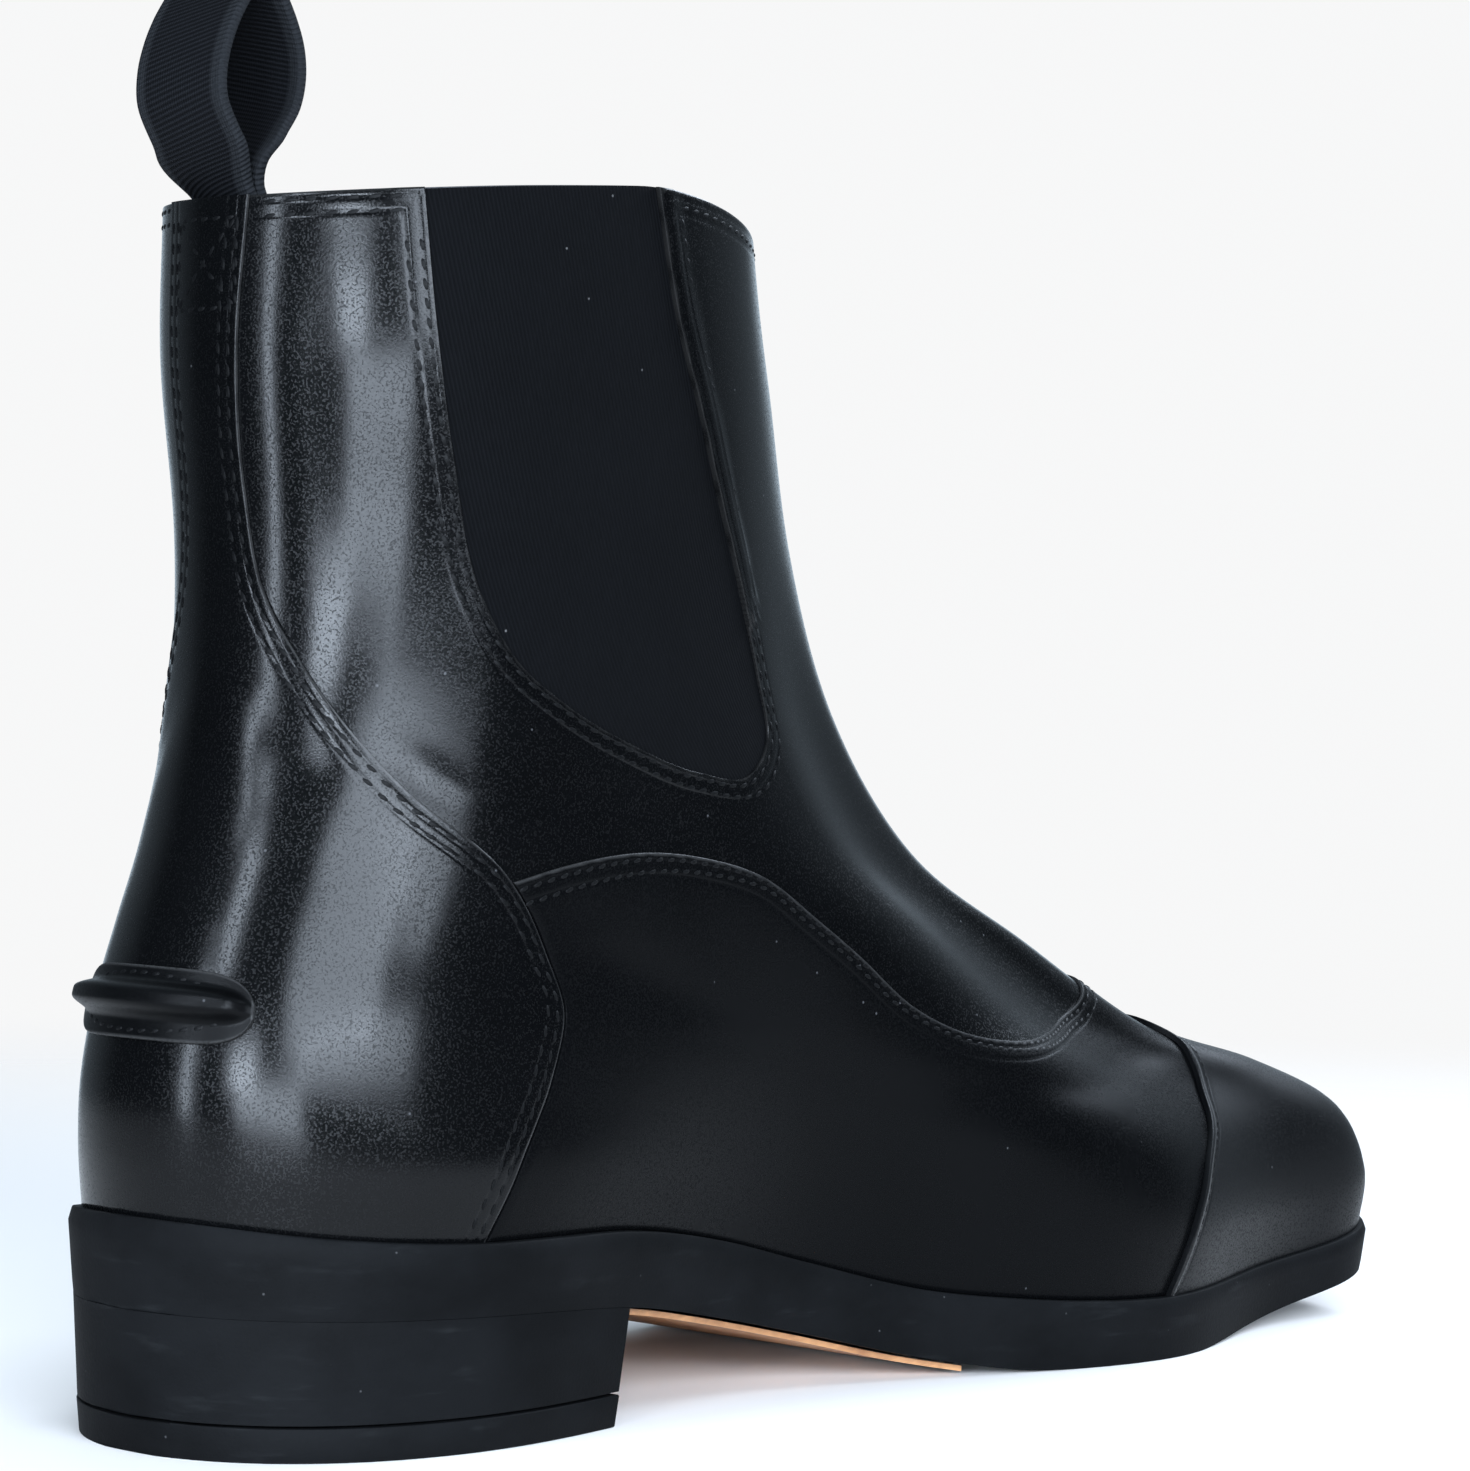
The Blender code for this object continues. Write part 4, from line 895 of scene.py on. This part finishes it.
def quarter_outline(side):
    """The quarter's outer line by share: down the counter, along the vamp and up the zip."""
    behind = seam(COUNTER_EDGES[side], LAP)
    down = (*part_of(behind, 1.0, junction_share(behind)), np.interp(SHARES, (0, 1), QUARTER_KNOTS[:2]))
    vamp_knots = np.interp(SHARES, (0.0, VAMP_BREAK, 1.0), QUARTER_KNOTS[1:4])
    below = np.array((*seam(VAMP_EDGE, -LAP), vamp_knots))
    up = (*front_line, np.interp(SHARES, (0, 1), QUARTER_KNOTS[3:]))
    corner = np.array([[up[0][0]], [below[1][-1]], [below[2][-1]]])
    return np.concatenate([down, below[:, :-FRONT_TRIM], corner, up], axis=1)


def quarter_place(side):
    angle, row, where = quarter_outline(side)

    def place(u, v):
        share = np.interp(u, np.linspace(0.0, 1.0, len(QUARTER_KNOTS)), QUARTER_KNOTS)
        outer = np.interp(share, where, angle), np.interp(share, where, row)
        inner = read(gore_line, np.interp(share, QUARTER_KNOTS, GORE_BREAKS))
        found = between(inner, outer, v)
        return side * found[0], found[1]

    return place


QUARTER_CUT = (240, 44, 300.0, 60.0)
COLLAR_BEHIND = (8.0, 44.0)  # degrees of the collar's edge behind and before the gore
COLLAR_BEFORE = (93.0, 174.0)
for side, name in ((1, "quarter_outer"), (-1, "quarter_inner")):
    turn = tuple if side > 0 else mirrored
    lines = (gore_line, front_line, collar_edge(*COLLAR_BEHIND), collar_edge(*COLLAR_BEFORE))
    edges = [turn(line) for line in lines]
    fold = turn(part_of(gore_line, BAND_START, 1.0))
    shape = panel(QUARTER_CUT, quarter_place(side), QUARTER_FACE, edges,
                  (edges[:1], GORE_FACE + LAP_GAP), ([fold], BAND_WIDTH, BAND_HEIGHT))
    finish_piece(name + "_leather", shape, quarter_black, "black_leather", name)

# Elastic gores
GORE_CUT = (48, 80, 60.0, 90.0)
GORE_ROUND = 0.2
GORE_THICK = GORE_FACE - PANEL_BACK
RIB_PER_DEGREE = 0.72
RIB_SLANT = 5.9  # degrees round the foot per row that the ribs lean


def gore_place(u, v):
    wide = seam(GORE_EDGE, -LAP)
    rear = read(wide, gore_low * (1.0 - v))
    fore = read(wide, 1.0 - (1.0 - gore_low) * (1.0 - v))
    return between(rear, fore, u)


for side, name in ((1, "gore_outer"), (-1, "gore_inner")):
    mesh, u, v, through = slab(GORE_CUT, GORE_THICK, GORE_ROUND)
    angle, row = gore_place(u, v)
    move(mesh, skin(side * angle, row, PANEL_BACK + GORE_THICK * through))
    note(mesh, "rib", (np.degrees(angle) - RIB_SLANT * (TOP_ROW - row)) * RIB_PER_DEGREE)
    finish_piece(name + "_elastic", mesh, gore_elastic, "elastic", name)

# Lining shell, open in front for the zip
SLIT_ROW = 5.5
SLIT_FULL_ROW = 6.0
SLIT_HALF = 3.4
LINING_GRID = (180, 90)
mesh = bmesh.new()
bmesh.ops.create_grid(mesh, x_segments=LINING_GRID[0], y_segments=LINING_GRID[1], size=0.5)
flat = np.array([vert.co[:] for vert in mesh.verts])
row = (flat[:, 1] + 0.5) * TOP_ROW
parted = SLIT_HALF * ease((row - SLIT_ROW) / (SLIT_FULL_ROW - SLIT_ROW))
angle = 2.0 * flat[:, 0] * front_angle(row, parted)
move(mesh, skin(angle, row, LINING_FACE))
bmesh.ops.remove_doubles(mesh, verts=mesh.verts[:], dist=MERGE)
bmesh.ops.recalc_face_normals(mesh, faces=mesh.faces[:])
bmesh.ops.solidify(mesh, geom=mesh.faces[:], thickness=LINING_WALL)
finish_piece("lining_shell", mesh, inside, "lining_leather", "upper")

# Sole, heel block and top piece: breasts and lips in pairs, below and above
BLOCK_BREASTS = (71.8, 73.0)
BLOCK_LIPS = (0.6, 1.5)
BLOCK_ROUND = 0.05
BLOCK_JOIN = 0.05  # gap under the sole
TOP_PIECE_BREASTS = (71.4, 71.8)
TOP_PIECE_LIPS = (0.2, 0.7)
TOP_PIECE_ROUND = 0.5
TOP_PIECE_HEIGHT = 5.0
TOP_PIECE_JOIN = 0.4  # gap under the block
HEEL_CUT = (60, 30, 70.0, 70.0)
SOLE_CUT = (150, 24, 284.0, 88.0)
SOLE_ROUND = 0.25
SOLE_BANDS = 6
SLAB_THICK = 10.0  # before the sole and heel are drawn to their heights


def ring_angle(share):
    """Angle round the foot at a share of a ring's length."""
    return np.arccos(np.clip(1.0 - 2.0 * share, -1.0, 1.0))


def feather_place(angle, across, lift):
    """A place inside the feather line, lifted out: across from the inner to the outer side."""
    inner = skin(-angle, 0.0, lift)
    return inner + (skin(angle, 0.0, lift) - inner) * across[:, None]


mesh, u, v, through = slab(SOLE_CUT, SLAB_THICK, SOLE_ROUND, False, SOLE_BANDS)
point = feather_place(ring_angle(u), v, np.interp(through, *np.array(SOLE_SECTION).T))
low = sole_low(point[:, 0])
point[:, 2] = low + (sole_top(point[:, 0]) - low) * through
move(mesh, point)
finish_piece("outsole_rubber", mesh, sole_black, "sole_rubber", "outsole")


def heel_piece(low, high, lips, breasts, rounding):
    """Part of the heel between two heights, with its outline's lip and breast below and above."""
    mesh, u, v, through = slab(HEEL_CUT, SLAB_THICK, rounding, True)
    feather = ring_sizes(0.0)
    reach = breasts[0] + (breasts[1] - breasts[0]) * through - feather["back"]
    angle = ring_angle(u * reach / (feather["front"] - feather["back"]))
    point = feather_place(angle, v, lips[0] + (lips[1] - lips[0]) * through)
    point[:, 2] = low + (high(point[:, 0]) - low) * through
    move(mesh, point)
    return mesh


heel = heel_piece(TOP_PIECE_HEIGHT + TOP_PIECE_JOIN, lambda along: sole_low(along) - BLOCK_JOIN,
                  BLOCK_LIPS, BLOCK_BREASTS, BLOCK_ROUND)
finish_piece("heel_block_rubber", heel, sole_black, "sole_rubber", "heel_block")
top_piece = heel_piece(0.0, lambda along: TOP_PIECE_HEIGHT, TOP_PIECE_LIPS, TOP_PIECE_BREASTS,
                       TOP_PIECE_ROUND)
finish_piece("heel_top_rubber", top_piece, sole_black, "sole_rubber", "heel_top_piece")

# Spur rest
SPUR_ROW = 2.98
SPUR_HALF_ROWS = 0.46
SPUR_DEGREES = 17.5
SPUR_FLANGE = 0.9
SPUR_RIDGE = 2.7
SPUR_RIDGE_PLACE = 0.54
SPUR_RIDGE_WIDTH = 0.2
SPUR_RIDGE_FADE = 0.18
SPUR_ROUND = 6
SPUR_END = 0.2
SPUR_CUT = (100, 48, 24.0, 11.0)
SPUR_EDGE = 0.25
SPUR_STITCH = (0.9, 0.78)  # half axes of its stitched border, as shares of its own


def spur_shape(across, height):
    """Angle and row of a place on the spur rest, from -1 to 1 along and up it."""
    end = np.sqrt(np.clip(1.0 - np.abs(across) ** SPUR_ROUND, SPUR_END ** 2, 1.0))
    return across * math.radians(SPUR_DEGREES), SPUR_ROW + SPUR_HALF_ROWS * height * end


mesh, u, v, through = slab(SPUR_CUT, 1.0, SPUR_EDGE)
angle, row = spur_shape(2.0 * u - 1.0, 2.0 * v - 1.0)
end = 1.0 - np.abs(2.0 * u - 1.0)
ridge = np.exp(-((v - SPUR_RIDGE_PLACE) / SPUR_RIDGE_WIDTH) ** 4) * ease(end / SPUR_RIDGE_FADE)
move(mesh, skin(angle, row, COUNTER_FACE + LAP_GAP + (SPUR_FLANGE + SPUR_RIDGE * ridge) * through))
note(mesh, "edge", np.minimum(end * SPUR_CUT[2], (0.5 - np.abs(v - 0.5)) * SPUR_CUT[3]))
spur_black = leather("spur_leather", base=0.0014, gloss=0.36, grain=0.6, shine=0.08)
finish_piece("spur_rest_leather", mesh, spur_black, "black_leather", "spur_rest")

# Pull loop of folded webbing
LOOP_WIDTH = 18.6
LOOP_THICK = 1.6
LOOP_TOP = 213.0
LOOP_GAP = 0.6
LOOP_LEG_END = 163.0
LOOP_WALL_ROWS = (8.7, 9.0, 9.4, 9.8)
LOOP_BOW = 0.0235
LOOP_FREE = 186.0
LOOP_FADE = 6.0
LOOP_WALL = 3.5  # inner wall of the collar, below the quarter's face
LOOP_ASIDE = 3.6
LOOP_LEAN = 3.1  # the legs sit further out, up to a height, over a fade
LOOP_LEAN_TOP = 188.0
LOOP_LEAN_FADE = 7.0
# Loop above the collar: shift of its middle and half its opening at the strap's middle line, height
LOOP_SIDE = ((-0.2, 1.1, 181.5), (-1.8, 1.9, 185.0), (-2.2, 4.6, 189.0), (-2.0, 7.0, 193.2),
             (-1.6, 7.5, 197.5), (-1.3, 6.8, 201.5), (-1.2, 5.1, 205.5), (-1.1, 3.0, 209.0),
             (-0.9, 1.5, 211.8))
LOOP_LEG_TOP = 179.0
LOOP_LEG_STEPS = 3
LOOP_APART = 0.4
LOOP_GRID = (130, 20)
LOOP_ROUND = 0.5


def loop_path():
    """Middle line of the loop, from the foot of its back leg over the top to that of its front leg."""
    wall = skin(0.0, np.array(LOOP_WALL_ROWS), -LOOP_WALL)
    leg_heights = np.linspace(LOOP_LEG_END, LOOP_LEG_TOP, LOOP_LEG_STEPS + 1)
    leg = np.interp(leg_heights, wall[:, 2], wall[:, 0]) + LOOP_GAP + LOOP_THICK / 2.0
    side = np.array(LOOP_SIDE)
    rise = np.stack([leg[-1] + side[:, 0], side[:, 2]], 1)
    half = np.stack([side[:, 1], np.zeros(len(side))], 1)
    back = np.concatenate([np.stack([leg, leg_heights], 1), rise - half])
    front = np.concatenate([np.stack([leg + LOOP_THICK + LOOP_APART, leg_heights], 1), rise + half])
    path = np.concatenate([back, [(rise[-1][0], LOOP_TOP)], front[::-1]])
    travel = travelled(path)
    where = np.linspace(0.0, travel[-1], LOOP_GRID[0] + 1)
    return where, np.stack([cubic(where, travel, column) for column in path.T], 1)


travel, path = loop_path()
mesh, u, v, through = slab((*LOOP_GRID, travel[-1], LOOP_WIDTH), LOOP_THICK, LOOP_ROUND, True)
tangent = unit(np.gradient(path, axis=0))
normal = np.stack([-tangent[:, 1], tangent[:, 0]], 1)
where = u * travel[-1]
line = along_path(where, travel, path)
line = line + along_path(where, travel, normal) * ((0.5 - through) * LOOP_THICK)[:, None]
lean = LOOP_LEAN * ease((LOOP_LEAN_TOP - line[:, 1]) / LOOP_LEAN_FADE)
across = (v - 0.5) * LOOP_WIDTH + LOOP_ASIDE + lean
held = ease((LOOP_FREE - line[:, 1]) / LOOP_FADE)
move(mesh, np.stack([line[:, 0] + LOOP_BOW * held * across ** 2, across, line[:, 1]], 1))
note(mesh, "along", where)
note(mesh, "across", (v - 0.5) * LOOP_WIDTH)
finish_piece("pull_loop_webbing", mesh, strap, "webbing", "pull_loop")

# Zip: teeth in two rows, slider and pull
TOOTH_PITCH = 2.0
TOOTH_SIZE = (2.9, 1.15, 1.7)  # across, along, out
TOOTH_ASIDE = 0.85
TOOTH_LIFT = -1.75
TOOTH_ROWS = (6.05, 9.92)
METAL_ROUND = 0.22
PULL_ROUND = 0.2
row = np.linspace(*TOOTH_ROWS, LINE_STEPS + 1)
points = skin(math.pi, row, TOOTH_LIFT)
outward = facing(np.full_like(row, math.pi), row)
travel = travelled(points)
side = Vector((0.0, 1.0, 0.0))
mesh = bmesh.new()
for number in range(int(travel[-1] / TOOTH_PITCH * 2.0)):
    where = number * TOOTH_PITCH / 2.0
    middle = Vector(along_path(where, travel, points))
    out = Vector(along_path(where, travel, outward)).normalized()
    run = side.cross(out).normalized()
    aside = side * TOOTH_ASIDE * (1.0 if number % 2 else -1.0)
    turn = set_at(middle + aside, side * TOOTH_SIZE[0], run * TOOTH_SIZE[1], out * TOOTH_SIZE[2])
    bmesh.ops.create_cube(mesh, size=1.0, matrix=turn)
bmesh.ops.bevel(mesh, geom=mesh.edges[:], offset=METAL_ROUND, segments=1, profile=0.5, affect="EDGES",
                material=-1)
finish_piece("zip_teeth", mesh, dark_nickel, "zip_metal", "zip_chain")

slider = rounded_copy("zip_slider", METAL_ROUND)
finish_piece("zip_slider_metal", slider, dark_nickel, "zip_metal", "zip_slider")
pull = rounded_copy("zip_pull", PULL_ROUND)
finish_piece("zip_pull_metal", pull, dark_nickel, "zip_metal", "zip_pull", body="pull_tab")

# Stitching
VAMP_SPACING = (2.6, 1.7)
QUARTER_SPACING = (2.8, 1.9)
BOX_SPACING = (2.4, 1.7)
SPUR_SPACING = (2.4, 1.6)
COUNTER_STRETCH = (0.0, 0.985)  # shares of their lines that the rows cover
GORE_STRETCH = (0.03, 0.70)
BAND_STRETCH = (0.70, 0.98)
ZIP_STRETCH = (0.12, 0.97)
BAND_ROW = 5.0
ZIP_ROW = 2.2
REAR_COLLAR_OUT = (22.0, 41.0)  # degrees
REAR_COLLAR_IN = (12.0, 41.0)
FRONT_COLLAR = (99.0, 170.0, 2.4)  # degrees, and how far below the top

mesh = bmesh.new()
for turn, edge in ((mirrored, COUNTER_EDGE_IN), (tuple, COUNTER_EDGE_OUT)):
    for shift in COUNTER_ROWS:
        stitches(mesh, turn(part_of(seam(edge, shift), *COUNTER_STRETCH)), COUNTER_FACE)
finish_piece("counter_stitching", mesh, black_thread, "webbing")

mesh = bmesh.new()
for turn in (tuple, other_side):
    for shift in VAMP_ROWS:
        stitches(mesh, turn(seam(VAMP_EDGE, -shift)), VAMP_FACE, VAMP_SPACING)
    stitches(mesh, turn(seam(CAP_EDGE, -CAP_ROW)), CAP_FACE, VAMP_SPACING)
finish_piece("vamp_stitching", mesh, black_thread, "webbing")

mesh = bmesh.new()
for turn, rear in ((tuple, REAR_COLLAR_OUT), (mirrored, REAR_COLLAR_IN)):
    lines = [part_of(seam(GORE_EDGE, -shift), *GORE_STRETCH) for shift in QUARTER_ROWS]
    lines.append(part_of(seam(GORE_EDGE, -BAND_ROW), *BAND_STRETCH))
    lines.append(collar_edge(*FRONT_COLLAR))
    lines.append(part_of(zip_edge(ZIP_ROW), *ZIP_STRETCH))
    for line in lines:
        stitches(mesh, turn(line), QUARTER_FACE, QUARTER_SPACING)
    for below in QUARTER_ROWS:
        stitches(mesh, turn(collar_edge(*rear, below)), QUARTER_FACE)
finish_piece("quarter_stitching", mesh, black_thread, "webbing")

# Box of stitches that holds the loop's legs, and the border of the spur rest
BOX_ROWS = (9.28, 9.86)
BOX_DEGREES = (-6.5, 13.5)
mesh = bmesh.new()
corners = [(BOX_DEGREES[across], BOX_ROWS[up]) for across, up in ((0, 0), (1, 0), (1, 1), (0, 1))]
for start, end in ((0, 1), (1, 2), (2, 3), (3, 0), (0, 2), (1, 3)):
    degrees, row = np.linspace(corners[start], corners[end], LINE_STEPS + 1).T
    stitches(mesh, (np.radians(degrees), row), COUNTER_FACE, BOX_SPACING)
turn = 2.0 * math.pi * SHARES
border = spur_shape(np.cos(turn) * SPUR_STITCH[0], np.sin(turn) * SPUR_STITCH[1])
stitches(mesh, border, COUNTER_FACE + SPUR_FLANGE + LAP_GAP, SPUR_SPACING)
finish_piece("backstay_stitching", mesh, black_thread, "webbing")

# Nodes whose shapes stay
for name, finish in (("insole", inside), ("zip_tape", tape), ("waist_panel", tan)):
    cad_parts[name].material_slots[0].material = finish

# Floor, light and camera
FLOOR_SIZE = 24.0
mesh = bmesh.new()
bmesh.ops.create_grid(mesh, x_segments=4, y_segments=4, size=FLOOR_SIZE / 2.0)
floor = add_mesh("floor", mesh, pale_floor("pale_floor"))

# Softboxes: azimuth and elevation seen from the boot, distance, width, height, radiance
SOFTBOXES = (
    ("rear", -68.5, 5.5, 0.9, 0.22, 0.13, 36.0),
    ("low", -56.0, -5.0, 0.6, 0.34, 0.124, 20.0),
    ("middle", -18.0, 6.0, 0.8, 0.70, 0.12, 17.0),
    ("high", -27.0, 18.0, 1.2, 0.90, 0.38, 17.0),
    ("strip", -99.0, 4.0, 0.55, 0.055, 0.305, 23.0),
    ("upper_strip", -89.0, 27.0, 0.9, 0.14, 0.17, 24.0),
    ("toe", 80.0, 31.0, 1.1, 0.90, 0.26, 15.0),
)
LIGHT_TINT = (0.88, 1.0, 1.16)
LIGHT_AIM = Vector((-0.095, -0.02, 0.12))


def direction(azimuth, elevation):
    """Unit vector towards an azimuth and elevation in degrees; azimuth 0 is the boot's inner side."""
    turn = math.radians(azimuth)
    rise = math.radians(elevation)
    return Vector((math.sin(turn) * math.cos(rise), -math.cos(turn) * math.cos(rise), math.sin(rise)))


for name, azimuth, elevation, far, width, height, radiance in SOFTBOXES:
    lamp = bpy.data.lights.new(name + "_softbox", "AREA")
    lamp.shape = "RECTANGLE"
    lamp.size = width
    lamp.size_y = height
    lamp.energy = radiance * math.pi * width * height
    lamp.color = LIGHT_TINT
    box = add(lamp.name, lamp)
    towards = direction(azimuth, elevation)
    box.location = LIGHT_AIM + towards * far
    box.rotation_euler = towards.to_track_quat("Z", "Y").to_euler()
    box.visible_camera = False

# Studio walls: dark behind the camera, white beyond the boot
CAMERA_TURN = (-47.92, 0.49, 1.33)  # azimuth, elevation and roll in degrees
WALL_DARK = 0.03
WALL_MIDDLE = 0.2
WALL_WHITE = 0.8
WALL_TOP = 0.5
MIDDLE_FADE = (0.2, 0.6)  # cosines of the angle from straight beyond the boot
WHITE_FADE = (0.88, 0.99)
TOP_FADE = (0.35, 0.85)  # heights in the sky
WALL_TINT = (0.82, 1.0, 1.16, 1.0)
BACKDROP = (0.93, 0.933, 0.936, 1.0)
world = bpy.data.worlds.new("studio")
world.use_nodes = True
bpy.context.scene.world = world
air = Wire(world.node_tree)
sight = air.node("TexCoord", {}, "Generated")
away = direction(CAMERA_TURN[0] + 180.0, 0.0)
beyond = sight.node("VectorMath", {0: sight, 1: tuple(away)}, "Value", operation="DOT_PRODUCT")
glow = beyond.step(*MIDDLE_FADE) * WALL_MIDDLE + beyond.step(*WHITE_FADE) * WALL_WHITE + WALL_DARK
glow = glow + sight.part("Z").step(*TOP_FADE) * WALL_TOP
tone = glow.tint((0.0, 0.0, 0.0, 1.0), WALL_TINT)
camera_ray = air.node("LightPath", {}, "Is Camera Ray")
tone = camera_ray.tint(tone, BACKDROP)
backdrop = world.node_tree.nodes["Background"]
world.node_tree.links.new(tone.socket, backdrop.inputs["Color"])

CAMERA_AIM = (130.0, 2.5, 85.0)
CAMERA_OFFSET = (1.34, 17.92)
CAMERA_FAR = 726.5
FOCAL_PIXELS = 4441.0
PICTURE = (1470, 1471)
SENSOR = 36.0
back = direction(CAMERA_TURN[0], CAMERA_TURN[1])
turn = back.to_track_quat("Z", "Y").to_matrix() @ Matrix.Rotation(math.radians(CAMERA_TURN[2]), 3, "Z")
eye = Vector(CAMERA_AIM) + back * CAMERA_FAR + turn @ Vector((*CAMERA_OFFSET, 0.0))
lens = bpy.data.cameras.new("camera")
lens.sensor_width = SENSOR
lens.lens = FOCAL_PIXELS * SENSOR / max(PICTURE)
camera = add("camera", lens)
camera.matrix_world = Matrix.Translation((eye - ORIGIN) * MM) @ turn.to_4x4()
bpy.context.scene.camera = camera
bpy.context.scene.view_settings.view_transform = "Standard"
